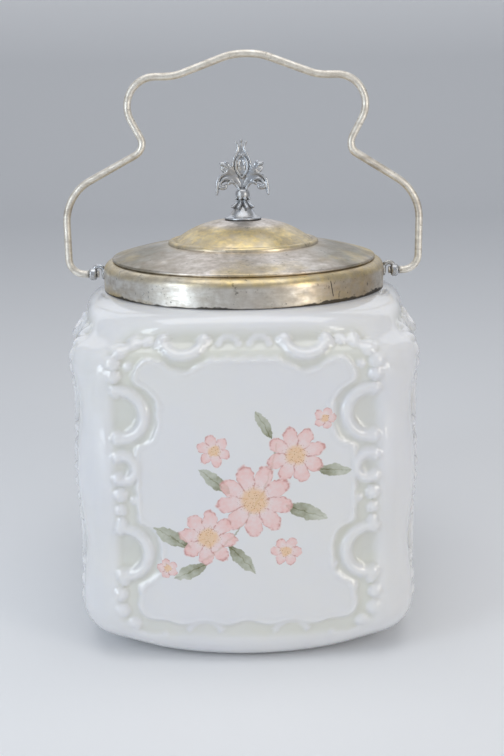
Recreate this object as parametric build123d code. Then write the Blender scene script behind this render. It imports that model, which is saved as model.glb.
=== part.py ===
from build123d import *
import math
import os

# Biscuit jar: a square, pillow-shaped jar of white opal glass with a silver-plated collar cemented
# round its neck, a spun lid that lifts off with a cast fleur-de-lis finial, and a shaped wire bail
# that swings on two cast ears. Millimetres, +Z up, +Y to the back. The origin is the middle of the
# jar's foot, on the surface that it stands on.

# ---------------------------------------------------------------- driving sizes

# Glass jar: its plan is a square with bowed faces and rounded corners.
glass_half_width = 70.6         # axis to the middle of a face
glass_corner_swell = 16.0       # how much farther from the axis a vertical corner stands than a face
glass_corner_radius = 20.0      # plan radius of a vertical corner
glass_wall = 4.2
glass_floor = 7.0
straight_sections = (1 / 3, 2 / 3)  # where the upright part between foot and shoulder is held
foot_tuck = 12.6                # the flat foot's edge, in from the face above it
foot_corner_swell = 2.5         # how much farther out the foot's edge stands at a corner
foot_face_rise = 12.0           # height over which a face rounds in to the foot
foot_corner_rise = 22.0         # the same at a corner
foot_corner_lean = 0.7          # 0.5 makes the corner's rise a quarter ellipse, more makes it leaner
foot_dish_radius = 50.0         # ground hollow under the foot
foot_dish_depth = 1.2
shoulder_height = 140.9         # the flat land round the neck
shoulder_land = 2.5             # width of that land
shoulder_face_drop = 16.0       # height over which a face rounds in to the land
shoulder_corner_drop = 25.0     # the same at a corner
shoulder_corner_lean = 0.65     # 0.5 makes the corner's fall a quarter ellipse, more makes it leaner
neck_radius = 54.5
neck_wall = 4.2
neck_height = 8.1

# Moulded scrolls, alike on all four faces and on both sides of each: arcs of a round rib sunk in the
# glass, with a ball at each end. Angles run from the middle of the face outwards, then up.
scroll_rib = 2.4                # radius of a tall scroll's rib
scroll_ball = 2.7               # radius of the ball at its ends
small_scroll_rib = 1.8
small_scroll_ball = 2.2
scroll_proud = 1.35             # how far a rib stands out of the glass
upper_scroll = (47.5, 102.5, 9.2, 107, 253)     # across, height, radius, first and last angle
lower_scroll = (48.0, 46.8, 9.6, 107, 253)
middle_loop = (46.8, 81.5, 4.9, 60, 300)
top_cup = (23.0, 134.0, 8.1, 200, 340)

# Hollow band that the scrolls stand in. It runs round the plain middle of a face, which is bitten
# back round each tall scroll and each cup.
band_depth = 1.0
band_half_width = 51.0
band_foot = 11.5
band_top = 135.5
band_corner = 12.0
middle_half_width = 42.0
middle_foot = 18.5
middle_top = 125.0
middle_corner = 8.0
scroll_margin = 5.4             # middle of a rib to the edge of the plain middle

# Collar: a spun band with a rounded top, an inward ledge and a lip turned down inside the neck.
cement_width = 3.3              # neck to the inside of the collar
collar_sheet = 1.2
collar_height = 11.4
collar_top_round = 4.0
collar_lip_gap = 0.3            # lip to the glass inside the neck
collar_lip_depth = 4.0

# Lid: a brim that rests on the ledge, a shallow cone, a bead and a low dome.
lid_sheet = 1.1
lid_brim_inset = 3.7            # the brim's edge, in from the outside of the collar
lid_brim_thickness = 1.5
lid_brim_width = 3.0
lid_cone_rise = 5.0             # from the brim's top to the bead
lid_cone_crown = 0.6            # how far the cone bulges above a straight line
lid_bead_radius = 30.2          # axis to the middle of the bead
lid_bead_size = 1.5             # radius of the bead's round section
lid_dome_radius = 28.4
lid_dome_rise = 8.0
lid_dome_crown = 1.7            # how far the dome bulges above a straight line
skirt_clearance = 0.5           # lid skirt to the collar's lip
skirt_sheet = 1.0
skirt_depth = 8.0               # below the ledge

# Finial and the fastening that holds it to the lid.
stud_radius = 1.6
stud_fit = 0.05                 # stud in the finial and in the nut
stud_reach = 8.0                # into the finial
stud_tail = 0.9                 # below the nut
lid_hole_clearance = 0.2        # stud in the lid and in the washer
washer_radius = 5.0
washer_thickness = 1.0
nut_across_flats = 5.6
nut_height = 2.5

foot_radius = 8.0               # finial's round foot
foot_rim = 1.3
foot_cone_height = 3.6
stem_waist_radius = 2.2
leaf_reach = 4.9                # leaf collar round the stem, axis to tips
leaf_throat = 3.4               # the cone's top under the leaves
leaf_rise = 3.4
leaf_edge = 0.3
leaf_scallop = 1.6              # radius of the hollows between leaf tips
leaf_count = 6
waist_height = 1.3              # bare stem between leaves and cup
cup_radius = 2.9
cup_mouth_radius = 2.3
cup_height = 5.6
bead_count = 8
bead_radius = 0.75
spear_height = 18.0             # the upright middle petal, from the cup's top
spear_radius = 3.75
spear_flatness = 0.68           # depth over width
petal_flatness = 0.8
oval_half_width = 2.8           # raised oval rim on the front and back of the spear
oval_half_height = 4.7
oval_rim = 0.9                  # width of that rim
oval_proud = 0.65               # how far it stands out of the spear
oval_rise = 7.2                 # its middle above the cup's top
arm_reach = 6.0                 # axis to the centre of a side petal's arch
arm_drop = 0.8                  # that centre below the cup's top
arm_radius = 4.8                # radius of that arch
arm_root_size = 1.45
arm_tip_size = 0.8              # where the arch ends and the tip starts to hang
arm_hang = 3.2                  # how far the tip hangs below the arch's centre
arm_flare = 0.3                 # how far it turns out again at its end
curl_size = 1.1
curl_drop = 1.9                 # middle of the curl's ball below the cup's top
wing_reach = 9.1                # axis to the tip of an upper side leaf
wing_rise = 8.5                 # that tip above the cup's top
wing_width = 5.6
wing_flatness = 0.42

# Bail and the ears that it swings in.
pivot_rise = 5.1                # above the collar's lower edge
bail_wire_radius = 1.55
bail_shank = 8.3                # from the ear out to the upright leg
bail_elbow_radius = 6.5
bail_haunch_height = 33.1       # above the pivot: where a leg would meet the sloping run
bail_haunch_radius = 19.9
bail_waist_inset = 32.6         # corner of the waist, in from the leg
bail_waist_height = 51.6
bail_waist_radius = 5.3
bail_lobe_inset = 17.4          # corner of the upper lobe, in from the leg
bail_lobe_height = 80.6
bail_lobe_radius = 11.9
bail_dip_half_width = 29.3      # corner where the top starts to rise
bail_dip_radius = 22.0
bail_crown_half_width = 5.6
bail_crown_height = 89.2
bail_crown_radius = 27.0

tenon_radius = 1.0
tenon_running_fit = 0.08        # tenon in its ear
tenon_end_play = 0.2            # ring to the wire's shoulder, and ring to the riveted head
head_radius = 1.5
head_thickness = 0.8
ring_radius = 2.7
ring_width = 3.0
ring_stand_off = 3.6            # collar to the near face of the ring
boss_radius = 2.4
boss_height = 1.3
yoke_radius = 2.1               # arch that joins the boss to the ring
yoke_size = 0.95

# ---------------------------------------------------------------- worked-out heights and radii

glass_corner_reach = glass_half_width + glass_corner_swell
foot_half_width = glass_half_width - foot_tuck
foot_corner_reach = foot_half_width + foot_corner_swell
shoulder_radius = neck_radius + shoulder_land
neck_top = shoulder_height + neck_height
neck_bore = neck_radius - neck_wall
ledge_height = shoulder_height + collar_height
collar_inner = neck_radius + cement_width
collar_radius = collar_inner + collar_sheet
lid_brim_radius = collar_radius - lid_brim_inset
lip_outer = neck_bore - collar_lip_gap
lip_bore = lip_outer - collar_sheet
skirt_radius = lip_bore - skirt_clearance

brim_top = ledge_height + lid_brim_thickness
bead_height = brim_top + lid_cone_rise
dome_foot = bead_height + lid_bead_size
lid_top = dome_foot + lid_dome_rise
lid_under = lid_top - lid_sheet
lid_land_radius = foot_radius + 0.3

washer_foot = lid_under - washer_thickness
nut_foot = washer_foot - nut_height
cone_top = foot_rim + foot_cone_height  # the finial's heights are above its own foot
cup_foot = cone_top + leaf_rise + waist_height
cup_top = cup_foot + cup_height

pivot_height = shoulder_height + pivot_rise
ring_near = collar_radius + ring_stand_off
ring_far = ring_near + ring_width
wire_start = ring_far + tenon_end_play
bail_half_width = wire_start + bail_shank
bail_waist_half_width = bail_half_width - bail_waist_inset
bail_lobe_half_width = bail_half_width - bail_lobe_inset
head_far = ring_near - tenon_end_play
head_near = head_far - head_thickness


# ---------------------------------------------------------------- glass

def plan_arcs(half_width, corner_reach):
    """Radius and half angle of a bowed face's plan arc."""
    squareness = (corner_reach / half_width - 1) / (math.sqrt(2) - 1)
    full = (glass_corner_reach / glass_half_width - 1) / (math.sqrt(2) - 1)
    softness = math.log(glass_corner_radius / glass_half_width) / math.log(1 - full)
    corner = half_width * (1 - squareness) ** softness
    centre = (corner_reach - corner) / math.sqrt(2)
    if squareness < 0.01:
        return half_width, math.radians(24)
    reach = half_width - centre
    face = (centre ** 2 + reach ** 2 - corner ** 2) / (2 * (reach - corner))
    return face, math.atan2(centre, centre - half_width + face)


def bowed_square(half_width, corner_reach, height):
    """Plan outline of the jar: four bowed faces joined by four corner arcs, all tangent."""
    face, turn = plan_arcs(half_width, corner_reach)
    x = half_width - face + face * math.cos(turn)
    y = face * math.sin(turn)
    diagonal = corner_reach / math.sqrt(2)
    edges = []
    for quarter in range(4):
        place = Rot(0, 0, 90 * quarter)
        edges.append(place * ThreePointArc((x, -y), (half_width, 0), (x, y)))
        edges.append(place * ThreePointArc((x, y), (diagonal, diagonal), (y, x)))
    return Pos(0, 0, height) * make_face(edges)


def rounded_in(full, end, depth, rise, lean=0.5):
    """Reach at a depth above the foot or below the land: from end, swelling to full over the rise."""
    rest = max(0.0, 1 - depth / rise)
    return end + (full - end) * (1 - rest ** 2) ** lean


def pillow(inset, foot, land, land_radius):
    """Pillow-shaped solid, set in from the outside of the glass by inset."""
    width = glass_half_width - inset
    corner = glass_corner_reach - inset
    steps = [math.radians(turn) for turn in (0, 18, 36, 54, 72, 90)]
    sections = []
    for step in steps:
        depth = foot_corner_rise * (1 - math.cos(step))
        reach = rounded_in(width, foot_half_width - inset, depth, foot_face_rise)
        far = rounded_in(corner, foot_corner_reach - inset, depth, foot_corner_rise, foot_corner_lean)
        sections.append(bowed_square(reach, far, foot + depth))
    low = foot + foot_corner_rise
    high = land - shoulder_corner_drop
    for share in straight_sections:
        sections.append(bowed_square(width, corner, low + share * (high - low)))
    for step in reversed(steps):
        depth = shoulder_corner_drop * (1 - math.cos(step))
        reach = rounded_in(width, land_radius, depth, shoulder_face_drop)
        far = rounded_in(corner, land_radius, depth, shoulder_corner_drop, shoulder_corner_lean)
        sections.append(bowed_square(reach, far, land - depth))
    return loft(sections)


def ring(inner, outer, low, high):
    """Plain ring round the Z axis."""
    profile = Pos((inner + outer) / 2, (low + high) / 2) * Rectangle(outer - inner, high - low)
    return revolve(Plane.XZ * profile, Axis.Z)


def rod(radius, low, high):
    """Plain rod on the Z axis."""
    return Pos(0, 0, (low + high) / 2) * Cylinder(radius, high - low)


def face_reach(height):
    """Distance from the axis to the middle of a face at a height."""
    foot = rounded_in(glass_half_width, foot_half_width, height, foot_face_rise)
    shoulder = rounded_in(glass_half_width, shoulder_radius, shoulder_height - height, shoulder_face_drop)
    return min(foot, shoulder)


def on_face(across, height):
    """Plane that touches the +X face of the glass, with X across the face, Y up it and Z out of it."""
    bow, _ = plan_arcs(glass_half_width, glass_corner_reach)
    turn = math.asin(across / bow)
    fall = face_reach(height - 0.5) - face_reach(height + 0.5)
    place = (face_reach(height) - bow * (1 - math.cos(turn)), across, height)
    outward = (math.cos(turn), math.sin(turn), fall)
    return Plane(origin=place, x_dir=(-math.sin(turn), math.cos(turn), 0), z_dir=outward)


def make_scroll(form, rib, ball):
    """Arc of a round rib with a ball at each end, on the right-hand half of the +X face."""
    across, height, radius, first, last = form
    middle = math.radians((first + last) / 2)
    out = radius * math.cos(middle)
    up = radius * math.sin(middle)
    seat = on_face(across + out, height + up)
    section = Plane.XZ * (Pos(radius, scroll_proud - rib) * Circle(rib))
    arc = revolve(section, Axis.Z, revolution_arc=last - first)
    arc = Rot(0, 0, first) * arc
    for angle in (first, last):
        arc += Rot(0, 0, angle) * Pos(radius, 0, scroll_proud - ball) * Sphere(ball)
    return seat.location * Pos(-out, -up, 0) * arc


def make_scrolls():
    """Every rib that the mould leaves standing on the glass."""
    side = [
        make_scroll(upper_scroll, scroll_rib, scroll_ball),
        make_scroll(lower_scroll, scroll_rib, scroll_ball),
        make_scroll(middle_loop, small_scroll_rib, small_scroll_ball),
        make_scroll(top_cup, small_scroll_rib, small_scroll_ball),
    ]
    face = side + [mirror(scroll, Plane.XZ) for scroll in side]
    return [Rot(0, 0, 90 * quarter) * scroll for quarter in range(4) for scroll in face]


def upright(half_width, foot, top, corner):
    """Rounded rectangle on the middle line of a face."""
    return Pos(0, (foot + top) / 2) * RectangleRounded(2 * half_width, top - foot, corner)


def make_bands():
    """What the hollow bands take out of the four faces."""
    middle = upright(middle_half_width, middle_foot, middle_top, middle_corner)
    for across, height, radius, _, _ in (upper_scroll, lower_scroll, top_cup):
        bite = Circle(radius + scroll_margin)
        middle -= Pos(across, height) * bite
        middle -= Pos(-across, height) * bite
    outline = upright(band_half_width, band_foot, band_top, band_corner) - middle
    face = Plane(origin=(glass_half_width / 2, 0, 0), x_dir=(0, 1, 0), z_dir=(1, 0, 0))
    band = extrude(face * outline, amount=glass_half_width)
    band -= pillow(band_depth, 0, shoulder_height, shoulder_radius)
    return [Rot(0, 0, 90 * quarter) * band for quarter in range(4)]


def make_jar_body():
    outside = pillow(0, 0, shoulder_height, shoulder_radius) - make_bands()
    inside = pillow(glass_wall, glass_floor, shoulder_height - glass_wall, neck_bore)
    neck = rod(neck_radius, shoulder_height - glass_wall, neck_top)
    bore = rod(neck_bore, shoulder_height - 1.5 * glass_wall, neck_top + 1)
    dish = rod(foot_dish_radius, -1, foot_dish_depth)
    return outside + make_scrolls() + neck - inside - bore - dish


# ---------------------------------------------------------------- collar

def round_top(radius, height, corner):
    """Outside of a band's rounded top: the arc from its upright wall to its ledge."""
    slant = corner * (1 - math.sqrt(0.5))
    middle = (radius - slant, height - slant)
    return ThreePointArc((radius, height - corner), middle, (radius - corner, height))


def make_collar_band():
    inner_round = collar_top_round - collar_sheet
    outer_arc = round_top(collar_radius, ledge_height, collar_top_round)
    inner_arc = round_top(collar_inner, ledge_height - collar_sheet, inner_round)
    lip_foot = ledge_height - collar_lip_depth
    outline = [
        Line((collar_radius, shoulder_height), outer_arc @ 0),
        outer_arc,
        Polyline(outer_arc @ 1, (lip_bore, ledge_height), (lip_bore, lip_foot), (lip_outer, lip_foot),
                 (lip_outer, ledge_height - collar_sheet), inner_arc @ 1),
        inner_arc,
        Polyline(inner_arc @ 0, (collar_inner, shoulder_height), (collar_radius, shoulder_height)),
    ]
    return revolve(Plane.XZ * make_face(outline), Axis.Z)


def make_cement_ring():
    """Plaster that beds the collar on the neck, round it and over its rim."""
    top_arc = round_top(collar_inner, ledge_height - collar_sheet, collar_top_round - collar_sheet)
    outline = [
        Line((collar_inner, shoulder_height), top_arc @ 0),
        top_arc,
        Polyline(top_arc @ 1, (neck_bore, ledge_height - collar_sheet), (neck_bore, neck_top),
                 (neck_radius, neck_top), (neck_radius, shoulder_height), (collar_inner, shoulder_height)),
    ]
    return revolve(Plane.XZ * make_face(outline), Axis.Z)


# ---------------------------------------------------------------- lid

def crowned(start, end, crown):
    """Arc between two profile points that stands above the straight line by crown."""
    middle = ((start[0] + end[0]) / 2, (start[1] + end[1]) / 2 + crown)
    return ThreePointArc(start, middle, end)


def lid_cone(drop=0.0):
    outer = (lid_brim_radius - lid_brim_thickness / 2, brim_top - drop)
    inner = (lid_bead_radius, bead_height - drop)
    return crowned(outer, inner, lid_cone_crown)


def make_lid_shell():
    top = lid_cone()
    under = lid_cone(lid_sheet)
    dome = crowned((lid_dome_radius, dome_foot), (lid_land_radius, lid_top), lid_dome_crown)
    dome_under = crowned((lid_dome_radius, dome_foot - lid_sheet), (lid_land_radius, lid_under), lid_dome_crown)
    half = lid_brim_thickness / 2
    edge = (lid_brim_radius, ledge_height + half)
    rolled = ThreePointArc((lid_brim_radius - half, ledge_height), edge, top @ 0)
    brim_inner = lid_brim_radius - lid_brim_width
    brim_under = lid_brim_at(brim_inner)
    outline = [
        rolled,
        top,
        Line(top @ 1, dome @ 0),
        dome,
        Polyline(dome @ 1, (0, lid_top), (0, lid_under), dome_under @ 1),
        dome_under,
        Line(dome_under @ 0, under @ 1),
        ThreePointArc(under @ 1, under @ 0.5, (brim_inner, brim_under)),
        Polyline((brim_inner, brim_under), (brim_inner, ledge_height), rolled @ 0),
    ]
    bead = Plane.XZ * (Pos(lid_bead_radius, bead_height) * Circle(lid_bead_size))
    bead_body = revolve(bead, Axis.Z)
    hollow = ring(0, lid_bead_radius, ledge_height, bead_height - lid_sheet)
    shell = revolve(Plane.XZ * make_face(outline), Axis.Z)
    hole = rod(stud_radius + lid_hole_clearance, lid_under - 1, lid_top + 1)
    return shell + (bead_body - hollow) - hole


def lid_brim_at(radius):
    """Height of the cone's underside at a radius."""
    arc = lid_cone(lid_sheet)
    low = 0.0
    high = 1.0
    for _ in range(40):
        middle = (low + high) / 2
        if (arc @ middle).X > radius:
            low = middle
        else:
            high = middle
    return (arc @ low).Y


def make_lid_skirt():
    return ring(skirt_radius - skirt_sheet, skirt_radius, ledge_height - skirt_depth, lid_brim_at(skirt_radius))


# ---------------------------------------------------------------- finial

def petal(spine, half_widths, flatness=1.0):
    """Leaf-like solid through ellipses square to a spine, whose points are (x, z) in the XZ plane."""
    sections = []
    for index, (x, z) in enumerate(spine):
        before = spine[max(index - 1, 0)]
        after = spine[min(index + 1, len(spine) - 1)]
        along = (after[0] - before[0], 0, after[1] - before[1])
        outline = Ellipse(half_widths[index] * flatness, half_widths[index])
        sections.append(Plane(origin=(x, 0, z), x_dir=(0, 1, 0), z_dir=along) * outline)
    return loft(sections)


def arch(centre, radius, start, end, start_size, end_size, flatness=1.0, tail=(), steps=7):
    """Tapering petal bent along an arc, with its angles in degrees from +X towards +Z. A tail of further
    points, each (x, z, half width), carries it on."""
    spine = []
    half_widths = []
    for step in range(steps):
        share = step / (steps - 1)
        angle = math.radians(start + (end - start) * share)
        spine.append((centre[0] + radius * math.cos(angle), centre[1] + radius * math.sin(angle)))
        half_widths.append(start_size + (end_size - start_size) * share)
    for x, z, half_width in tail:
        spine.append((x, z))
        half_widths.append(half_width)
    return petal(spine, half_widths, flatness)


def on_both_sides(solid):
    """The solid and its mirror image left of the axis."""
    return [solid, mirror(solid, Plane.YZ)]


def make_finial_foot():
    """Round foot with a rolled rim under a hollow-sided cone."""
    cone = ThreePointArc((foot_radius - foot_rim / 2, foot_rim),
                         (foot_radius * 0.58, foot_rim + foot_cone_height * 0.36), (leaf_throat, cone_top))
    rim = ThreePointArc((foot_radius, 0), (foot_radius + foot_rim / 5, foot_rim / 2), cone @ 0)
    outline = [rim, cone, Polyline(cone @ 1, (0, cone_top), (0, 0), rim @ 0)]
    return revolve(Plane.XZ * make_face(outline), Axis.Z)


def make_leaf_collar():
    """Flare of pointed leaves that turn out over the foot, scalloped between their tips."""
    flare = ThreePointArc((leaf_reach, cone_top), (leaf_reach * 0.62, cone_top + leaf_rise * 0.45),
                          (stem_waist_radius, cone_top + leaf_rise))
    outline = [
        flare,
        Polyline(flare @ 1, (0, cone_top + leaf_rise), (0, cone_top - leaf_edge),
                 (leaf_throat, cone_top - leaf_edge), flare @ 0),
    ]
    leaves = revolve(Plane.XZ * make_face(outline), Axis.Z)
    scallop = Pos(leaf_reach + leaf_scallop * 0.3, 0, cone_top) * Cylinder(leaf_scallop, 2 * leaf_rise)
    for leaf in range(leaf_count):
        leaves -= Rot(0, 0, 360 / leaf_count * (leaf + 0.5)) * scallop
    return leaves


def make_cup():
    """Waist, ring of beads and the swelling cup that the petals spring from."""
    side = ThreePointArc((cup_radius * 0.9, cup_foot), (cup_radius, cup_foot + cup_height * 0.35),
                         (cup_mouth_radius, cup_top))
    outline = [side, Polyline(side @ 1, (0, cup_top), (0, cup_foot), side @ 0)]
    cup = revolve(Plane.XZ * make_face(outline), Axis.Z)
    cup += rod(stem_waist_radius, cone_top, cup_foot)
    for bead in range(bead_count):
        cup += Rot(0, 0, 360 / bead_count * bead) * Pos(cup_radius * 0.86, 0, cup_foot) * Sphere(bead_radius)
    return cup


def make_spear(swell=0.0):
    """Upright middle petal: a flattened drop with a narrow neck and a bud at its tip, swollen all round."""
    profile = [(0, 0.42), (0.12, 0.56), (0.27, 0.82), (0.43, 1.0), (0.58, 0.8), (0.71, 0.46), (0.82, 0.28),
               (0.91, 0.34), (0.97, 0.24), (1.0, 0.06)]
    spine = [(0, cup_top + share * spear_height) for share, _ in profile]
    return petal(spine, [width * spear_radius + swell for _, width in profile], spear_flatness)


def make_oval_rim():
    """Raised oval rim that follows the front and the back of the spear."""
    oval = Ellipse(oval_half_width, oval_half_height)
    oval -= Ellipse(oval_half_width - oval_rim, oval_half_height - oval_rim)
    wall = extrude(Plane.XZ * (Pos(0, cup_top + oval_rise) * oval), amount=spear_radius, both=True)
    return make_spear(oval_proud / spear_flatness) & wall


def make_side_petal():
    """Right-hand petal: an arm that arches out and hangs, its inner curl and the broad leaf above it."""
    centre = (arm_reach, cup_top - arm_drop)
    tip_x = arm_reach + arm_radius
    tail = [(tip_x, centre[1] - arm_hang * 0.5, arm_tip_size * 0.8),
            (tip_x + arm_flare, centre[1] - arm_hang, arm_tip_size * 0.35)]
    arm = arch(centre, arm_radius, 184, 0, arm_root_size, arm_tip_size, petal_flatness, tail)
    curl_x = arm_reach + arm_radius - arm_root_size - curl_size
    ball = Pos(curl_x, 0, cup_top - curl_drop) * Sphere(curl_size)
    hook = arch((curl_x + curl_size, cup_top - curl_drop + 2 * curl_size), 1.4 * curl_size, 40, 225,
                curl_size * 0.6, curl_size * 0.6)
    root = (spear_radius * 0.4, cup_top + wing_rise * 0.06)
    profile = [(0, 0.5), (0.22, 0.85), (0.45, 1.0), (0.72, 0.78), (0.9, 0.42), (1.0, 0.1)]
    spine = [(root[0] + share * (wing_reach - root[0]), root[1] + share * (cup_top + wing_rise - root[1]))
             for share, _ in profile]
    wing = petal(spine, [width * wing_width / 2 for _, width in profile], wing_flatness)
    return arm + ball + hook + wing


def make_finial():
    casting = make_finial_foot() + make_leaf_collar() + make_cup() + make_spear() + make_oval_rim()
    casting += on_both_sides(make_side_petal())
    bud = Pos(spear_radius * 0.32, 0, cup_top + spear_height * 0.9) * Sphere(spear_radius * 0.17)
    casting += on_both_sides(bud)
    casting -= rod(stud_radius + stud_fit, -1, stud_reach + stud_fit)
    return Pos(0, 0, lid_top) * casting


def make_finial_stud():
    return rod(stud_radius, nut_foot - stud_tail, lid_top + stud_reach)


def make_finial_washer():
    return ring(stud_radius + lid_hole_clearance, washer_radius, washer_foot, lid_under)


def make_finial_nut():
    outline = RegularPolygon(nut_across_flats / 2, 6, major_radius=False) - Circle(stud_radius + stud_fit)
    nut = extrude(outline, nut_height)
    return Pos(0, 0, nut_foot) * nut


# ---------------------------------------------------------------- bail and ears

def along_x(radius, low, high, height):
    """Rod parallel to X at a height."""
    return Pos((low + high) / 2, 0, height) * Rot(0, 90, 0) * Cylinder(radius, high - low)


def make_ear_right():
    """Boss soldered to the collar, a rounded eye for the bail and the arched yoke between them."""
    boss = along_x(boss_radius, collar_radius - collar_sheet, collar_radius + boss_height, pivot_height)
    boss = fillet(boss.edges().group_by(Axis.X)[-1], boss_height * 0.6)
    eye = along_x(ring_radius, ring_near, ring_far, pivot_height)
    eye = fillet(eye.edges().filter_by(GeomType.CIRCLE), ring_width * 0.3)
    centre = (ring_near - yoke_radius * 0.45, pivot_height + ring_radius - yoke_radius * 0.72)
    ear = boss + eye + arch(centre, yoke_radius, 190, 20, yoke_size, yoke_size)
    ear -= rod(collar_radius, pivot_height - 2 * ring_radius, pivot_height + 2 * ring_radius)
    ear -= along_x(tenon_radius + tenon_running_fit, head_far, ring_far + 1, pivot_height)
    return ear - along_x(head_radius + tenon_end_play, head_near - tenon_end_play, ring_near, pivot_height)


def make_ear_left():
    return Rot(0, 0, 180) * make_ear_right()


def bail_corners():
    """Right-hand corners of the bail's centre line, from the pivot up, with their radii."""
    return [
        (bail_half_width, 0, bail_elbow_radius),
        (bail_half_width, bail_haunch_height, bail_haunch_radius),
        (bail_waist_half_width, bail_waist_height, bail_waist_radius),
        (bail_lobe_half_width, bail_lobe_height, bail_lobe_radius),
        (bail_dip_half_width, bail_lobe_height, bail_dip_radius),
        (bail_crown_half_width, bail_crown_height, bail_crown_radius),
    ]


def make_bail_handle():
    right = bail_corners()
    corners = [(x, 0, pivot_height + rise) for x, rise, _ in right]
    left = [(-x, 0, height) for x, _, height in reversed(corners)]
    start = (wire_start, 0, pivot_height)
    end = (-wire_start, 0, pivot_height)
    radii = [radius for _, _, radius in right]
    path = FilletPolyline(start, *corners, *left, end, radius=radii + radii[::-1])
    wire = sweep(Plane(origin=start, z_dir=(1, 0, 0)) * Circle(bail_wire_radius), path=path)
    tenon = along_x(tenon_radius, head_near, wire_start, pivot_height)
    head = along_x(head_radius, head_near, head_far, pivot_height)
    return wire + on_both_sides(tenon + head)


# ---------------------------------------------------------------- export

MAKERS = {
    "jar_body": make_jar_body,
    "cement_ring": make_cement_ring,
    "collar_band": make_collar_band,
    "ear_left": make_ear_left,
    "ear_right": make_ear_right,
    "bail_handle": make_bail_handle,
    "lid_shell": make_lid_shell,
    "lid_skirt": make_lid_skirt,
    "finial": make_finial,
    "finial_stud": make_finial_stud,
    "finial_washer": make_finial_washer,
    "finial_nut": make_finial_nut,
}

os.makedirs("parts", exist_ok=True)
for name, maker in MAKERS.items():
    solid = maker()
    solid.label = name
    export_step(solid, f"parts/{name}.step")
    print(name, len(solid.solids()), round(solid.volume, 2))
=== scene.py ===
# %% [markdown]
# # Biscuit jar in moulded opal glass, with a worn plated collar, lid and bail
# The jar's sizes and places come from the solid model, which is loaded as a fixed frame. Blender adds
# what a solid model leaves out: the moulded scrolls, the painted flowers, the wear on the plating and
# the light of a small studio. Lengths of the jar are written in millimetres and turned into metres by MM.
# The sheet and the lamps of the studio are written in metres.

# %% Load the solid model
import math

import bmesh
import bpy
import numpy as np
from mathutils import Euler, Matrix, Vector


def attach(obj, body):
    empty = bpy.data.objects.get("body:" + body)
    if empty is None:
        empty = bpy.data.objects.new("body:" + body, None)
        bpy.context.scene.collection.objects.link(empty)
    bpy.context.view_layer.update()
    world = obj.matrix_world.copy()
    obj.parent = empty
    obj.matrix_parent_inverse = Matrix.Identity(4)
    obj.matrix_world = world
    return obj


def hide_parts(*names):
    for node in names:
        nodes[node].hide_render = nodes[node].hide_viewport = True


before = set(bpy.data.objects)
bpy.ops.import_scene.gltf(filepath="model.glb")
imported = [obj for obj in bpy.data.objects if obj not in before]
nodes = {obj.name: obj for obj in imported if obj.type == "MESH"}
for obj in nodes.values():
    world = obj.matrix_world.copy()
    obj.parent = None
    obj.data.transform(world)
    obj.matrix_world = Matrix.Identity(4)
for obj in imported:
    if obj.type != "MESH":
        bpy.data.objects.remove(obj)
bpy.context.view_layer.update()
MM = 0.001
print("solid model:", len(nodes), "nodes")

# %% [markdown]
# ## Camera
# The jar is seen from a little above its lid and from less than half a metre away, close enough for the
# collar's rim to open into a clear ellipse. A 52 mm lens on a sensor whose long side is 36 mm takes in
# the whole jar from there. The camera leans by less than a degree, as a hand-held one does.

# %% Place the camera
LENS = 52.01
SENSOR = 36
CAMERA_PLACE = Vector((2.80, -461.74, 217.75)) * MM
CAMERA_PITCH = 14.39
CAMERA_ROLL = 0.84
camera_data = bpy.data.cameras.new("jar_camera")
camera_data.lens = LENS
camera_data.sensor_width = SENSOR
camera = bpy.data.objects.new("jar_camera", camera_data)
bpy.context.scene.collection.objects.link(camera)
look = Euler((math.radians(90 - CAMERA_PITCH), 0, 0)).to_matrix()
roll = Matrix.Rotation(math.radians(-CAMERA_ROLL), 3, "Z")
camera.matrix_world = Matrix.Translation(CAMERA_PLACE) @ (look @ roll).to_4x4()
bpy.context.scene.camera = camera
print("camera:", LENS, "mm lens,", CAMERA_PITCH, "degrees down")

# %% [markdown]
# ## Small helpers for node materials
# Every finish below is a chain of nodes. Written out one by one, each node takes four or five lines. These
# helpers add a node, set its values and join it in one, so that each material reads as a list of layers.

# %% Node helpers
def add(tree, kind, **values):
    """Node of a kind, with its inputs filled: a value sets the socket, a socket is joined to it."""
    node = tree.nodes.new(kind)
    for key, value in values.items():
        if hasattr(node, key) and key not in node.inputs:
            setattr(node, key, value)
            continue
        socket = node.inputs[int(key[2:])] if key.startswith("in") and key[2:].isdigit() else node.inputs[key]
        if isinstance(value, bpy.types.NodeSocket):
            tree.links.new(value, socket)
        else:
            socket.default_value = value
    return node


def calc(tree, operation, first, second=0.0, third=0.0, clamp=False):
    return add(tree, "ShaderNodeMath", operation=operation, in0=first, in1=second, in2=third,
               use_clamp=clamp).outputs[0]


def times(tree, first, second, clamp=False):
    return calc(tree, "MULTIPLY", first, second, clamp=clamp)


def blend_colour(tree, share, first, second):
    return add(tree, "ShaderNodeMix", data_type="RGBA", in0=share, in6=first, in7=second).outputs[2]


def tinted(tree, colour, mask, strength, tint):
    """Colour with a tint laid over it where a mask is, at a strength."""
    return blend_colour(tree, times(tree, mask, strength), colour, tint)


def ramp_value(tree, value, low, high, to_low=0.0, to_high=1.0):
    """Soft ramp from one number to another, while a value goes from low to high."""
    return add(tree, "ShaderNodeMapRange", interpolation_type="SMOOTHSTEP", in0=value, in1=low, in2=high,
               in3=to_low, in4=to_high).outputs[0]


def noise_value(tree, place, scale, detail, roughness=0.5):
    return add(tree, "ShaderNodeTexNoise", Vector=place, Scale=scale, Detail=detail,
               Roughness=roughness).outputs[0]


def height_of(tree, place):
    return add(tree, "ShaderNodeSeparateXYZ", Vector=place).outputs[2]


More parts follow.
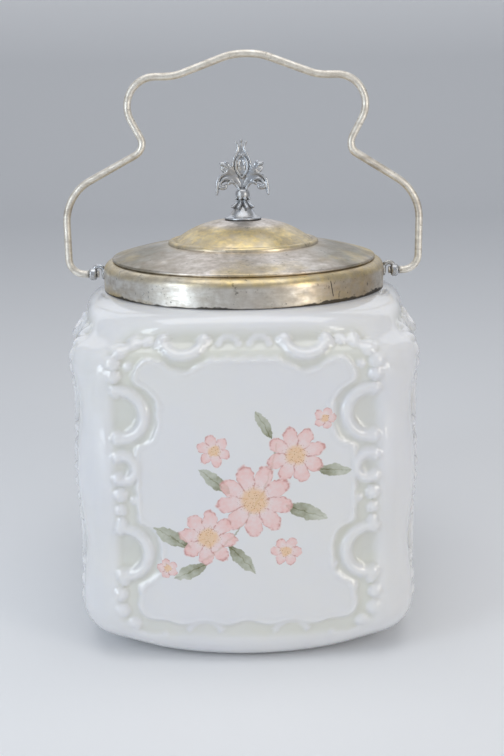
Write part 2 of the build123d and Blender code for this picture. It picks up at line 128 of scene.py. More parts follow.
# %% Groups, relief and materials
def new_group(name, numbers, masks):
    """Empty shader group that takes a place and named numbers, and puts out named masks."""
    group = bpy.data.node_groups.new(name, "ShaderNodeTree")
    group.interface.new_socket(name="Vector", in_out="INPUT", socket_type="NodeSocketVector")
    for label, value in numbers.items():
        socket = group.interface.new_socket(name=label, in_out="INPUT", socket_type="NodeSocketFloat")
        socket.default_value = value
    for label in masks:
        group.interface.new_socket(name=label, in_out="OUTPUT", socket_type="NodeSocketFloat")
    return group, group.nodes.new("NodeGroupInput").outputs


def put_out(group, *masks):
    """Join the masks to the group's outputs and hand the group back."""
    result = group.nodes.new("NodeGroupOutput")
    for socket, mask in zip(result.inputs, masks):
        group.links.new(mask, socket)
    return group


def use_group(tree, group, **values):
    return add(tree, "ShaderNodeGroup", node_tree=group, **values)


def roughen(tree, shader, strength, depth, relief):
    """Give a shader a fine relief that is as deep as given, in millimetres."""
    bump = add(tree, "ShaderNodeBump", Strength=strength, Distance=depth * MM, Height=relief)
    tree.links.new(bump.outputs[0], shader.inputs["Normal"])


def new_material(name):
    """Material with its node tree, its shader and the place on the object that patterns are laid by."""
    material = bpy.data.materials.new(name)
    material.use_nodes = True
    tree = material.node_tree
    place = add(tree, "ShaderNodeTexCoord").outputs["Object"]
    return material, tree, tree.nodes["Principled BSDF"], place


# %% [markdown]
# ## Studio
# Opal glass and plated metal both show what stands round them. Two tall soft boxes give the long
# highlights down the corners of the glass and across the collar, a large one overhead lights the lid,
# and the floor and backdrop are one plain pale sheet. A real sheet would need lamps of its own to look
# white at the back. Here it gets a glow that only the camera and reflections see, so it lights nothing.

# %% Floor and backdrop
PALE = (0.83, 0.84, 0.86, 1)
BACKDROP_GLOW = 0.8
GLOW_FROM, GLOW_TO = 0.3, 1.5
SHEET_HALF, SHEET_BACK, SHEET_CURVE, SHEET_TOP = 2.5, 1.6, 0.6, 3.0


def plain_material(name, colour, roughness):
    material = bpy.data.materials.new(name)
    material.use_nodes = True
    shader = material.node_tree.nodes["Principled BSDF"]
    shader.inputs["Base Color"].default_value = colour
    shader.inputs["Roughness"].default_value = roughness
    return material


def light_backdrop(material):
    """Let the upright part of the paper look paler to the camera and in shiny metal, and light nothing."""
    tree = material.node_tree
    path = add(tree, "ShaderNodeLightPath").outputs
    shiny = calc(tree, "MAXIMUM", path["Is Glossy Ray"], path["Is Transmission Ray"])
    seen = calc(tree, "ADD", path["Is Camera Ray"], shiny, clamp=True)
    height = height_of(tree, add(tree, "ShaderNodeTexCoord").outputs["Object"])
    rise = add(tree, "ShaderNodeMapRange", in0=height, in1=GLOW_FROM, in2=GLOW_TO, in4=BACKDROP_GLOW)
    shader = tree.nodes["Principled BSDF"]
    shader.inputs["Emission Color"].default_value = PALE
    tree.links.new(times(tree, seen, rise.outputs[0]), shader.inputs["Emission Strength"])


def make_sweep():
    """Floor that curves up into a backdrop."""
    sweep = bmesh.new()
    first = sweep.verts.new((-SHEET_HALF, -SHEET_HALF, 0))
    second = sweep.verts.new((-SHEET_HALF, SHEET_BACK, 0))
    sweep.edges.new((first, second))
    spun = bmesh.ops.spin(sweep, geom=[second], cent=(0, SHEET_BACK, SHEET_CURVE), axis=(1, 0, 0),
                          angle=math.pi / 2, steps=16)
    last = [item for item in spun["geom_last"] if isinstance(item, bmesh.types.BMVert)][0]
    top = sweep.verts.new((-SHEET_HALF, last.co.y, SHEET_TOP))
    sweep.edges.new((last, top))
    widened = bmesh.ops.extrude_edge_only(sweep, edges=sweep.edges[:])
    moved = [item for item in widened["geom"] if isinstance(item, bmesh.types.BMVert)]
    bmesh.ops.translate(sweep, verts=moved, vec=(2 * SHEET_HALF, 0, 0))
    bmesh.ops.recalc_face_normals(sweep, faces=sweep.faces)
    mesh = bpy.data.meshes.new("studio_sweep")
    sweep.to_mesh(mesh)
    sweep.free()
    mesh.shade_smooth()
    studio = bpy.data.objects.new("studio_sweep", mesh)
    bpy.context.scene.collection.objects.link(studio)
    paper = plain_material("studio_paper", PALE, 0.9)
    light_backdrop(paper)
    studio.data.materials.append(paper)


make_sweep()
print("sheet:", 2 * SHEET_HALF, "m wide,", SHEET_TOP, "m high at the back")

# %% Lamps and room
# name, place, point it faces, width, height, power, colour
LAMPS = [
    ("left_window", (-0.48, -0.39, 0.27), (0, 0, 0.14), 0.19, 0.52, 1.13, (0.84, 0.93, 1.0)),
    ("right_window", (0.46, -0.45, 0.26), (0, 0, 0.14), 0.17, 0.48, 0.90, (1.0, 0.94, 0.84)),
    ("overhead", (0, -0.15, 1.20), (0, 0, 0.10), 1.1, 0.9, 4.4, (1, 1, 1)),
]
ROOM = (0.80, 0.83, 0.88, 1)
ROOM_STRENGTH = 0.53


def soft_box(name, place, aim, width, height, power, colour):
    """Rectangular lamp at a place, turned to face a point."""
    light = bpy.data.lights.new(name, "AREA")
    light.shape = "RECTANGLE"
    light.size = width
    light.size_y = height
    light.energy = power
    light.color = colour
    lamp = bpy.data.objects.new(name, light)
    bpy.context.scene.collection.objects.link(lamp)
    lamp.location = place
    lamp.rotation_euler = (Vector(aim) - Vector(place)).to_track_quat("-Z", "Y").to_euler()
    print(name, power, "W")


for lamp in LAMPS:
    soft_box(*lamp)
world = bpy.data.worlds.new("studio_room")
world.use_nodes = True
bpy.context.scene.world = world
world.node_tree.nodes["Background"].inputs["Color"].default_value = ROOM
world.node_tree.nodes["Background"].inputs["Strength"].default_value = ROOM_STRENGTH
bpy.context.scene.view_settings.view_transform = "Standard"

# %% [markdown]
# ## The plan of the glass
# Seen from above the jar is a square with bowed faces and rounded corners. Four long arcs and four
# short ones, all tangent, give that outline from two numbers: how far a face stands from the axis, and
# how far a corner does. When both are equal the outline is a circle, as at the neck.

# %% Sizes of the glass and its plan
FACE_REACH = 70.6
CORNER_REACH = 86.6
CORNER_RADIUS = 20.0
GLASS_WALL = 4.2
FOOT_FACE = 58.0
FOOT_CORNER = 60.5
LAND_HEIGHT = 140.9
LAND_RADIUS = 57.0
NECK_RADIUS = 54.5
NECK_BORE = 50.3
NECK_TOP = 149.0
# how high the rounded foot and shoulder reach, on a face and on a corner, and how full a corner's are
FACE_FOOT, FACE_SHOULDER = 12.0, 16.0
CORNER_FOOT, CORNER_SHOULDER = 22.0, 25.0
FULL_FOOT, FULL_SHOULDER = 0.7, 0.65
# a round level has no true face, so its quarter is shared out by this angle, in degrees
ROUND_TURN = 24
# shares of a face's half width, closer together where the mould is richest
PLAIN_TO = 0.56
FACE_PLACES = np.concatenate([np.linspace(-1, -PLAIN_TO, 27, endpoint=False),
                              np.linspace(-PLAIN_TO, PLAIN_TO, 47, endpoint=False),
                              np.linspace(PLAIN_TO, 1, 27, endpoint=False)])
CORNER_STEPS = 25
COLUMNS = 4 * (len(FACE_PLACES) + CORNER_STEPS)
print("glass:", 2 * FACE_REACH, "mm across its faces,", 2 * CORNER_REACH, "mm across its corners")


# %% Plan of one level
def plan_arcs(face_reach, corner_reach):
    """Radius and half angle of a face's arc, and radius and centre of a corner's arc."""
    square = (corner_reach / face_reach - 1) / (math.sqrt(2) - 1)
    full = (CORNER_REACH / FACE_REACH - 1) / (math.sqrt(2) - 1)
    softness = math.log(CORNER_RADIUS / FACE_REACH) / math.log(1 - full)
    corner = face_reach * (1 - square) ** softness
    centre = (corner_reach - corner) / math.sqrt(2)
    if square < 0.01:
        return face_reach, math.radians(ROUND_TURN), corner, centre
    reach = face_reach - centre
    face = (centre ** 2 + reach ** 2 - corner ** 2) / (2 * (reach - corner))
    return face, math.atan2(centre, centre - face_reach + face), corner, centre


def plan_ring(face_reach, corner_reach, height):
    """One level of the jar: points round it, and each point's distance along its own face."""
    face, turn, corner, centre = plan_arcs(face_reach, corner_reach)
    on_face = FACE_PLACES * turn
    on_corner = np.linspace(turn, math.pi / 2 - turn, CORNER_STEPS, endpoint=False)
    out = np.concatenate([face_reach - face + face * np.cos(on_face), centre + corner * np.cos(on_corner)])
    side = np.concatenate([face * np.sin(on_face), centre + corner * np.sin(on_corner)])
    along = np.where(side <= out, side, -out)
    points = []
    for quarter in range(4):
        angle = math.radians(90 * quarter - 90)
        points.append(np.stack([out * math.cos(angle) - side * math.sin(angle),
                                out * math.sin(angle) + side * math.cos(angle),
                                np.full(len(out), height)], axis=1))
    return np.concatenate(points), np.tile(along, 4)


# %% Reach of the pillow at a height
def eased(full, end, depth, rise, power=0.5):
    """Reach at a depth inside a rounded edge, from its end to its full size."""
    rest = max(0.0, 1 - depth / rise)
    return end + (full - end) * (1 - rest ** 2) ** power


def body_level(height, inset=0.0, foot=0.0, land=LAND_HEIGHT, land_radius=LAND_RADIUS):
    """Face and corner reach of the pillow at a height, for its outside, or with an inset for its inside."""
    face = FACE_REACH - inset
    corner = CORNER_REACH - inset
    above = height - foot
    below = land - height
    reach = min(eased(face, FOOT_FACE - inset, above, FACE_FOOT),
                eased(face, land_radius, below, FACE_SHOULDER))
    far = min(eased(corner, FOOT_CORNER - inset, above, CORNER_FOOT, FULL_FOOT),
              eased(corner, land_radius, below, CORNER_SHOULDER, FULL_SHOULDER))
    return reach, max(far, reach)


# %% [markdown]
# ## The moulded scrolls
# Each face carries a frame of raised C-scrolls, loops, cups and beads in a hollow band, round a plain
# middle with a scalloped edge. They are pressed by one mould, so the whole frame is one height for every
# place on the face. Round ribs and domes give the raised parts, and distances from two rounded
# rectangles give the hollow band. It is easier to change than carved geometry, and both halves of all
# four faces share it.

# %% Helpers for the mould's height
RIB_SPREAD = 1.03
RIB_RISE = 0.66


def soft_ridge(distance, half_width):
    """Ridge one high that runs out at its half width on each side."""
    return 0.5 + 0.5 * np.cos(np.pi * np.clip(distance / half_width, -1, 1))


def soft_step(value, low, high):
    """Share that goes softly from none at a low value to all at a high one."""
    share = np.clip((value - low) / (high - low), 0, 1)
    return share * share * (3 - 2 * share)


def swelling(across, up, middle, size):
    """Soft bump round a place on the face, one high."""
    return np.exp(-((across - middle[0]) / size[0]) ** 2 - ((up - middle[1]) / size[1]) ** 2)


def from_box(across, up, half_width, foot, top, corner):
    """Distance outside a rounded upright rectangle on the face; it is negative inside."""
    wide = across - half_width + corner
    high = np.abs(up - (foot + top) / 2) - (top - foot) / 2 + corner
    return np.hypot(np.maximum(wide, 0), np.maximum(high, 0)) + np.minimum(np.maximum(wide, high), 0) - corner


def from_arc(across, up, form):
    """Distance from an arc on the face, and the share of the way along it."""
    centre, rise, radius, first, last = form
    middle = (first + last) / 2
    half = (last - first) / 2
    angle = np.degrees(np.arctan2(up - rise, across - centre))
    held = np.clip((angle - middle + 180) % 360 - 180, -half, half)
    turn = np.radians(middle + held)
    away = np.hypot(across - centre - radius * np.cos(turn), up - rise - radius * np.sin(turn))
    return away, 0.5 + 0.5 * held / half


def round_rib(away, rib, proud):
    """Height of a soft rib or ball that stands proud of the glass, at a distance from its middle."""
    wide = rib * RIB_SPREAD
    crown = proud - RIB_RISE * (wide - np.sqrt(np.maximum(wide ** 2 - away ** 2, 0)))
    return crown - np.maximum(away - wide, 0)


def join(first, second, blend):
    """The higher of two heights, with a small hollow fillet where they meet."""
    share = np.clip(0.5 + 0.5 * (first - second) / blend, 0, 1)
    return second + (first - second) * share + blend * share * (1 - share)


rib_heights = [round(float(round_rib(away, 1.5, 1.0)), 2) for away in (0, 0.75, 1.5)]
print("rib 1.5 mm thick, 1 mm proud, from its crest to its side:", rib_heights)

# %% [markdown]
# ## What stands in the band
# Angles are in degrees from outwards on the face towards up, so a C-scroll from 82 to 278 opens to the
# corner of the jar. The C-scrolls, the loop between them and the cup at the top lie where the solid model
# has them. Beads fill the band between, each one a little different, as a mould cutter's are.

# %% Places of the scrolls and beads
# across, up, radius
UPPER_SCROLL = (47.5, 102.5, 9.2)
LOWER_SCROLL = (48.0, 46.8, 9.6)
TOP_CUP = (23.0, 134.0, 8.1)
# (across, up, radius, first, last), rib, ball, proud
SCROLLS = [
    ((*UPPER_SCROLL, 82, 278), 1.85, 2.5, 1.35),
    ((*LOWER_SCROLL, 82, 278), 1.85, 2.5, 1.35),
    ((46.8, 81.5, 4.9, 60, 300), 1.5, 1.9, 1.3),
    ((*TOP_CUP, 196, 344), 1.5, 2.0, 1.35),
    ((5.8, 129.5, 3.8, 15, 165), 1.3, 1.3, 0.1),
    ((17.0, 12.2, 6.8, 25, 155), 1.4, 1.5, 0.1),
    ((37.5, 22.0, 11.0, 245, 330), 1.5, 1.8, 0.2),
]
# the glass is sunk a little inside the first four
CUPPED = SCROLLS[:4]
# across, up, radius, proud
BEADS = [
    (31.8, 130.6, 2.6, 0.5), (36.6, 131.4, 2.5, 0.7), (41.6, 130.8, 3.1, 1.0), (46.8, 127.6, 3.4, 1.1),
    (49.4, 122.6, 3.0, 1.1), (49.2, 117.6, 2.8, 1.1), (43.5, 121.5, 1.7, 0.2), (14.4, 131.6, 2.2, 0.8),
    (47.4, 111.8, 2.3, 0.9), (48.4, 70.8, 2.8, 1.1), (43.0, 68.6, 1.7, 0.3), (48.6, 64.4, 2.4, 0.9),
    (48.6, 59.0, 2.2, 0.9), (48.4, 35.2, 2.4, 0.9), (41.5, 31.9, 1.8, 0.4), (50.0, 29.4, 2.9, 1.0),
    (49.6, 22.6, 3.3, 0.9), (44.8, 16.9, 2.9, 0.7), (32.2, 106.4, 1.5, 0.7), (33.4, 41.8, 1.4, 0.6),
]
print("each half of a face:", len(SCROLLS), "scrolls,", len(BEADS), "beads")

# %% Edges of the band
# rounded rectangles: half width, foot, top, corner
MIDDLE_BOX = (42.0, 18.5, 125.0, 8.0)
FRAME_BOX = (51.0, 11.5, 135.5, 12.0)
SCROLL_MARGIN = 4.7
LOBE = 1.1
# width and depth of the small arches
TOP_ARCH = (6.2, 0.55)
SIDE_ARCH = (7.4, 0.5)
FOOT_WAVE = (17.0, 0.9)


def arches(place, width, depth):
    """Row of small arches along an edge."""
    return depth * np.abs(np.sin(np.pi * place / width))


def from_middle(across, up):
    """Distance outside the plain middle, which is bitten back round the scrolls and has a scalloped edge."""
    edge = from_box(across, up, *MIDDLE_BOX)
    for centre, rise, radius in (UPPER_SCROLL, LOWER_SCROLL, TOP_CUP):
        lobes = LOBE * np.abs(np.sin(3 * np.arctan2(up - rise, across - centre)))
        bite = radius + SCROLL_MARGIN + lobes - np.hypot(across - centre, up - rise)
        edge = join(bite, edge, 1.5)
    along_top = arches(across, *TOP_ARCH) * soft_step(up, 112, 119)
    width, depth = FOOT_WAVE
    along_foot = depth * np.cos(2 * np.pi * across / width) * soft_step(-up, -30, -24)
    on_side = soft_step(-np.abs(up - 70), -44, -38) * soft_step(across, 28, 32)
    return edge + along_top + along_foot + arches(up, *SIDE_ARCH) * on_side


print("plain middle:", 2 * MIDDLE_BOX[0], "mm wide,", MIDDLE_BOX[2] - MIDDLE_BOX[1], "mm high")

# %% Ground under the frame
# the glass is sunk along the top of each face: depth, height of its middle, half width
TOP_HOLLOW = (2.3, 131.8, 6.6)
# soft hollows and swells: middle, size, amount
SWELLINGS = [
    ((50, UPPER_SCROLL[1]), (13, 12), -1.6), ((50, LOWER_SCROLL[1]), (13, 12), -1.6),
    ((53, 122.5), (7, 9), 0.9), ((53, 74), (7, 9), 0.6), ((53, 24), (7, 9), 0.5), ((60, 11), (10, 9), 1.7),
]


def ground_height(across, up):
    """Slow rise and fall of the glass: sunk along the top and behind the C-scrolls, swollen between them."""
    depth, middle, half = TOP_HOLLOW
    ground = -depth * soft_ridge(up - middle, half)
    for middle, size, amount in SWELLINGS:
        ground += amount * swelling(across, up, middle, size)
    return ground


print("ground:", len(SWELLINGS), "hollows and swells on each half of a face")

# %% Raised parts
# how far a rib and its end balls lie below their full height, and how high the knuckles on a rib are
RIB_DROP, BALL_DROP, KNUCKLE = 0.25, 0.1, 0.12
# a height under everything, for places with no scroll or bead
FAR_BELOW = -9.0


def raised_height(across, up):
    """Height of the scrolls and beads; it falls away quickly between them."""
    raised = np.full(len(across), FAR_BELOW)
    for form, rib, ball, proud in SCROLLS:
        centre, rise, radius, first, last = form
        away, share = from_arc(across, up, form)
        knuckles = KNUCKLE * np.cos(share * math.pi * round(radius * (last - first) / 90)) ** 2
        raised = np.maximum(raised, round_rib(away, rib, proud - RIB_DROP + knuckles))
        for angle in (first, last):
            end_across = centre + radius * math.cos(math.radians(angle))
            end_up = rise + radius * math.sin(math.radians(angle))
            away = np.hypot(across - end_across, up - end_up)
            raised = np.maximum(raised, round_rib(away, ball, proud - BALL_DROP))
    for centre, rise, radius, proud in BEADS:
        raised = np.maximum(raised, round_rib(np.hypot(across - centre, up - rise), radius, proud))
    return raised


# %% The whole mould
BAND_DEPTH = 0.75
# distances over which the band begins at the plain middle and ends inside the frame's edge
BAND_BEGINS, BAND_ENDS = (-0.4, 1.6), (-1.5, 2.5)
# ridge along the plain middle: height, how far inside the edge, half width
EDGE_RIDGE = (0.55, 0.5, 1.2)
CUP_DEPTH, CUP_SHARE = 0.35, 0.9
FILLET = 0.9
# a scroll's height over the band at which the painted shade of the band thins out and is gone
BAND_SHADE_ENDS = (-0.6, 0.8)


def moulded_height(across, up):
    """Height of the mould over the plain glass, and how deep each place lies in the hollow band, which sets its
    painted shade.
    """
    across = np.abs(across)
    middle = from_middle(across, up)
    outer = from_box(across, up, *FRAME_BOX)
    band = soft_step(middle, *BAND_BEGINS) * soft_step(-outer, *BAND_ENDS)
    ridge, inside, half = EDGE_RIDGE
    height = -BAND_DEPTH * band
    height += ridge * soft_ridge(middle + inside, half) * soft_step(-outer, 0, 3)
    for (centre, rise, radius, _, _), *_ in CUPPED:
        height -= CUP_DEPTH * soft_ridge(np.hypot(across - centre, up - rise), radius * CUP_SHARE)
    raised = raised_height(across, up)
    whole = join(raised, height, FILLET) + ground_height(across, up)
    return whole, band * (1 - soft_step(raised - height, *BAND_SHADE_ENDS))


grid_up, grid_across = np.mgrid[12.0:136.0, 0.0:55.0]
heights, _ = moulded_height(grid_across.ravel(), grid_up.ravel())
print("mould: from", round(float(heights.min()), 2), "to", round(float(heights.max()), 2), "mm")

# %% [markdown]
# ## The glass as one sheet
# A flat grid is rolled round the jar: its columns run up, its rows run round, from the ground hollow
# under the foot, up the outside, over the neck and down the inside to the floor. Welding the seam and
# the two poles then closes it. Its faces stay even, so the mould's height can push each point along
# its normal without tearing anything.

# %% Levels from pole to pole
POLE = 0.02
HOLLOW_HEIGHT = 1.2
# the ring it stands on: inside radius, and its outside on a face and at a corner
GROUND_RING = (50, 55, 56.5)
FLOOR_HEIGHT = 7.0
LIP = 0.6
INNER_TOP = LAND_HEIGHT - GLASS_WALL


def round_levels(*rings):
    """Levels that are plain circles, from pairs of radius and height."""
    return [(radius, radius, height, False) for radius, height in rings]


def arc_heights(end, rise, turns):
    """Heights that lie evenly round a rounded edge, which starts at its end and rises or falls."""
    return [end + rise * (1 - math.cos(math.radians(turn))) for turn in turns]


def glass_levels():
    """Face reach, corner reach, height and whether the mould shapes it, for each level on the way."""
    inner, on_face, at_corner = GROUND_RING
    levels = round_levels((POLE, HOLLOW_HEIGHT), (inner / 2, HOLLOW_HEIGHT), (inner - 0.1, HOLLOW_HEIGHT),
                          (inner, 0))
    levels.append((on_face, at_corner, 0, False))
    outside = arc_heights(0, FACE_FOOT, range(0, 84, 7))
    outside += [*np.arange(11.4, 30, 0.8), *np.arange(30, 112, 1.1), *np.arange(112, 132.4, 0.8)]
    outside += arc_heights(LAND_HEIGHT, -FACE_SHOULDER, np.arange(60, -1, -3.75))
    levels += [(*body_level(height), height, True) for height in outside]
    levels += round_levels((NECK_RADIUS, LAND_HEIGHT), (NECK_RADIUS, NECK_TOP - LIP),
                           (NECK_RADIUS - LIP, NECK_TOP), (NECK_BORE + LIP, NECK_TOP),
                           (NECK_BORE, NECK_TOP - LIP), (NECK_BORE, INNER_TOP))
    inside = arc_heights(INNER_TOP, -FACE_SHOULDER, range(10, 90, 12)) + [100, 80, 60, 40, 28]
    inside += arc_heights(FLOOR_HEIGHT, FACE_FOOT, range(88, -1, -11))
    levels += [(*body_level(height, GLASS_WALL, FLOOR_HEIGHT, INNER_TOP, NECK_BORE), height, False)
               for height in inside]
    return levels + round_levels((30, FLOOR_HEIGHT), (POLE, FLOOR_HEIGHT))


print("glass:", len(glass_levels()), "levels of", COLUMNS, "points")

# %% Press the mould into the levels
SET_IN = 0.2
# heights between which the mould grows to its full depth, and fades out under the collar
MOULD_GROWS = (1.5, 9.0)
MOULD_FADES = (137.0, 140.0)


def pressed_points():
    """Points of the glass, level by level, and how deep each lies in the hollow band."""
    levels = glass_levels()
    rings = [plan_ring(face - SET_IN * moulded, far - SET_IN * moulded, height)
             for face, far, height, moulded in levels]
    points = np.array([ring for ring, _ in rings])
    along = np.array([side for _, side in rings])
    round_step = np.roll(points, -1, axis=1) - np.roll(points, 1, axis=1)
    normals = np.cross(round_step, np.gradient(points, axis=0))
    normals /= np.maximum(np.linalg.norm(normals, axis=2, keepdims=True), 1e-9)
    rows = np.where([moulded for *_, moulded in levels])[0]
    up = points[rows, :, 2]
    height, band = moulded_height(along[rows].ravel(), up.ravel())
    fade = soft_step(up, *MOULD_GROWS) * soft_step(-up, -MOULD_FADES[1], -MOULD_FADES[0])
    points[rows] += normals[rows] * (height.reshape(up.shape) * fade)[:, :, None]
    # how deep each point lies in the hollow band, which later sets the painted shade there
    hollow = np.zeros(along.shape)
    hollow[rows] = band.reshape(up.shape)
    return points, hollow


# %% Roll the grid into the jar
WELD = 0.05


def make_glass():
    points, hollow = pressed_points()
    steps = len(points) - 1
    sheet = bmesh.new()
    bmesh.ops.create_grid(sheet, x_segments=COLUMNS, y_segments=steps, size=0.5)
    depth = sheet.verts.layers.float.new("hollow")
    for vert in sheet.verts:
        column = round((vert.co.x + 0.5) * COLUMNS) % COLUMNS
        row = round((vert.co.y + 0.5) * steps)
        vert[depth] = hollow[row, column]
        vert.co = Vector(points[row, column]) * MM
    bmesh.ops.remove_doubles(sheet, verts=sheet.verts, dist=WELD * MM)
    bmesh.ops.recalc_face_normals(sheet, faces=sheet.faces)
    return sheet


# %% Finish a piece
def finished_piece(name, shape, body, node, material, sharp):
    """Object made from a bmesh, smooth but for its sharp edges, riding on a body in a CAD node's place."""
    mesh = bpy.data.meshes.new(name)
    shape.to_mesh(mesh)
    shape.free()
    mesh.shade_smooth()
    mesh.set_sharp_from_angle(angle=math.radians(sharp))
    mesh.materials.append(material)
    piece = bpy.data.objects.new(name, mesh)
    bpy.context.scene.collection.objects.link(piece)
    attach(piece, body)
    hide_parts(node)
    print(name, len(mesh.polygons), "faces")


# %% [markdown]
# ## Wear groups
# The plating has clouds where the silver has gone, fine dark specks and long scratches from polishing.
# Each of these is a group that puts out one mask, so all plated pieces share it with values of their own,
# and the glass borrows the clouds for the slow change of its white.

# %% Clouds, specks and scratches
SPECK_PATCHES = 75.0
SPECK_LEVEL, SPECK_GATHERS = 0.70, -0.10
SPECK_EDGE = 14.0


def make_clouds():
    """Clouds that begin where the noise passes one level and are full where it passes another."""
    group, given = new_group("worn_clouds", {"Scale": 40.0, "Low": 0.45, "High": 0.6}, ["Mask"])
    noise = noise_value(group, given["Vector"], given["Scale"], 6.0, 0.62)
    mask = add(group, "ShaderNodeMapRange", in0=noise, in1=given["Low"], in2=given["High"]).outputs[0]
    return put_out(group, mask)


def make_specks():
    """Fine specks that gather in patches."""
    group, given = new_group("dark_specks", {"Scale": 700.0, "Amount": 0.5}, ["Mask"])
    noise = noise_value(group, given["Vector"], given["Scale"], 3.0, 0.6)
    patches = noise_value(group, given["Vector"], SPECK_PATCHES, 4.0)
    level = calc(group, "MULTIPLY_ADD", ramp_value(group, patches, 0.40, 0.66), SPECK_GATHERS, SPECK_LEVEL)
    speck = times(group, calc(group, "SUBTRACT", noise, level), SPECK_EDGE, clamp=True)
    return put_out(group, times(group, speck, given["Amount"]))


def make_scratches():
    """Fine lines, drawn out by the stretched place that each material gives."""
    group, given = new_group("polish_scratches", {"Scale": 60.0}, ["Mask"])
    noise = noise_value(group, given["Vector"], given["Scale"], 8.0, 0.75)
    return put_out(group, ramp_value(group, noise, 0.5, 0.66))


CLOUDS = make_clouds()
SPECKS = make_specks()
SCRATCHES = make_scratches()
print("wear groups:", CLOUDS.name, SPECKS.name, SCRATCHES.name)

# %% [markdown]
# ## Worn silver plate
# Thin silver over a yellow base metal goes grey-beige with age. It is gone first where hands and
# polishing cloths reach, and there the warm metal shows. Black tarnish stays along the lower edge of
# the collar, where a cloth never gets. One recipe lays these over each other for every plated piece, so
# that the age and the polish of each are a few numbers.

# %% Clouds, level bands and edge tarnish
# thickness of the edge's tarnish where it is thin and where it is thick
EDGE_THIN, EDGE_THICK = 0.2, 2.4


def worn(tree, place, scale, low, high):
    return use_group(tree, CLOUDS, Vector=place, Scale=scale, Low=low, High=high).outputs[0]


def height_band(tree, height, low, high, soft=1.0):
    """Mask of a level band, between two heights in millimetres."""
    rising = ramp_value(tree, height, (low - soft) * MM, (low + soft) * MM)
    falling = ramp_value(tree, height, (high - soft) * MM, (high + soft) * MM, 1.0, 0.0)
    return times(tree, rising, falling)


def edge_tarnish(tree, place, edge):
    """Black tarnish along a lower edge, thick in some places and almost gone in others."""
    slow = noise_value(tree, place, 55.0, 2.0)
    ragged = calc(tree, "ADD", noise_value(tree, place, 420.0, 5.0), 0.05)
    thick = times(tree, ramp_value(tree, slow, 0.38, 0.72, EDGE_THIN * MM, EDGE_THICK * MM), ragged)
    above = calc(tree, "SUBTRACT", calc(tree, "SUBTRACT", height_of(tree, place), edge * MM), thick)
    return ramp_value(tree, above, -0.2 * MM, 0.3 * MM, 0.9, 0.0)


# %% Film of tarnish and painted shade, and scratch
SCRATCH_LEAN = 0.18


def film_and_shade_share(tree, place, low, high, amount, both_sides):
    """Share of a patchy film that thickens towards the right or towards both sides: tarnish and painted shade.
    """
    across = add(tree, "ShaderNodeSeparateXYZ", Vector=place).outputs[0]
    if both_sides:
        across = calc(tree, "ABSOLUTE", across)
    patchy = ramp_value(tree, noise_value(tree, place, 38.0, 6.0, 0.65), 0.34, 0.60, 0.45, 1.15)
    side = ramp_value(tree, across, low * MM, high * MM, 0.0, amount)
    return times(tree, side, patchy, clamp=True)


def knife_scratch(tree, place, middle, low, high):
    """One deep upright scratch on the front, leaning a little."""
    parts = add(tree, "ShaderNodeSeparateXYZ", Vector=place).outputs
    lean = calc(tree, "MULTIPLY_ADD", parts[2], -SCRATCH_LEAN, (middle + SCRATCH_LEAN * low) * MM)
    away = calc(tree, "ABSOLUTE", calc(tree, "SUBTRACT", parts[0], lean))
    line = ramp_value(tree, away, 0.08 * MM, 0.24 * MM, 1.0, 0.0)
    line = times(tree, line, height_band(tree, parts[2], low, high, 0.3))
    return times(tree, line, calc(tree, "LESS_THAN", parts[1], 0.0))


# %% Dark places and painted shade
CREVICE_SHADE_REACH = 2.2


def tarnish_and_shade(tree, place, spots, edge_at, scratch, cast):
    """All that is black on a plate: specks, a lower edge, one scratch, and painted shade in a casting's
    hollows.
    """
    layers = []
    if edge_at is not None:
        layers.append(edge_tarnish(tree, place, edge_at))
    if scratch is not None:
        layers.append(knife_scratch(tree, place, *scratch))
    # painted shade: a casting's crevices and hollows darken towards black, by occlusion and by the hollow value
    if cast:
        crevice_shade = add(tree, "ShaderNodeAmbientOcclusion", samples=8, Distance=CREVICE_SHADE_REACH * MM).outputs["AO"]
        layers.append(ramp_value(tree, crevice_shade, 0.35, 0.80, 0.90, 0.0))
        hollow = add(tree, "ShaderNodeAttribute", attribute_name="hollow").outputs["Fac"]
        layers.append(ramp_value(tree, hollow, 0.04, 0.75, 0.0, 0.9))
    dark = spots
    for layer in layers:
        dark = calc(tree, "MAXIMUM", dark, layer)
    return dark


# %% Colour and relief of a plate
HAZE = (0.33, 0.27, 0.21, 1)
GRAIN = (0.40, 0.35, 0.28, 1)
POLISHED = (0.84, 0.82, 0.80, 1)
TARNISH = (0.045, 0.040, 0.036, 1)
# clouds are flattened and polishing lines drawn out round the spun metal by these stretches
CLOUD_STRETCH, LINE_STRETCH = (1.0, 1.0, 3.2), (1.0, 1.0, 9.0)
LINE_DEPTH, RIPPLE_DEPTH, SPOT_DEPTH = 0.12, 0.9, 0.25
# clouds of each kind: their scale, and the noise levels where they begin and are full
WARM_SCALE, SPECK_SCALE, LINE_SCALE = 26.0, 620.0, 150.0
BAND_CLOUDS, HAZE_CLOUDS = (30.0, 0.30, 0.56), (120.0, 0.40, 0.68)
GRAIN_CLOUDS, POLISHED_CLOUDS = (380.0, 0.36, 0.66), (60.0, 0.50, 0.72)
POLISHED_SHARE = 0.30
HAZE_ROUGH, DARK_ROUGH = 0.18, 0.25


def plated_colour(tree, place, silver, warm, shows, warm_band, film_and_shade):
    """Silver, its film of tarnish and painted shade, warm metal showing in clouds and along one band; and a
    haze.
    """
    level = add(tree, "ShaderNodeMapping", Vector=place, Scale=CLOUD_STRETCH).outputs[0]
    clouds = worn(tree, level, WARM_SCALE, *shows)
    if warm_band is not None:
        low, high, amount = warm_band
        patchy = times(tree, worn(tree, place, *BAND_CLOUDS), amount)
        band = times(tree, height_band(tree, height_of(tree, place), low, high), patchy)
        clouds = calc(tree, "MAXIMUM", clouds, band)
    colour = silver
    if film_and_shade is not None:
        *reach, tint = film_and_shade
        colour = blend_colour(tree, film_and_shade_share(tree, place, *reach), colour, tint)
    return blend_colour(tree, clouds, colour, warm), worn(tree, level, *HAZE_CLOUDS)


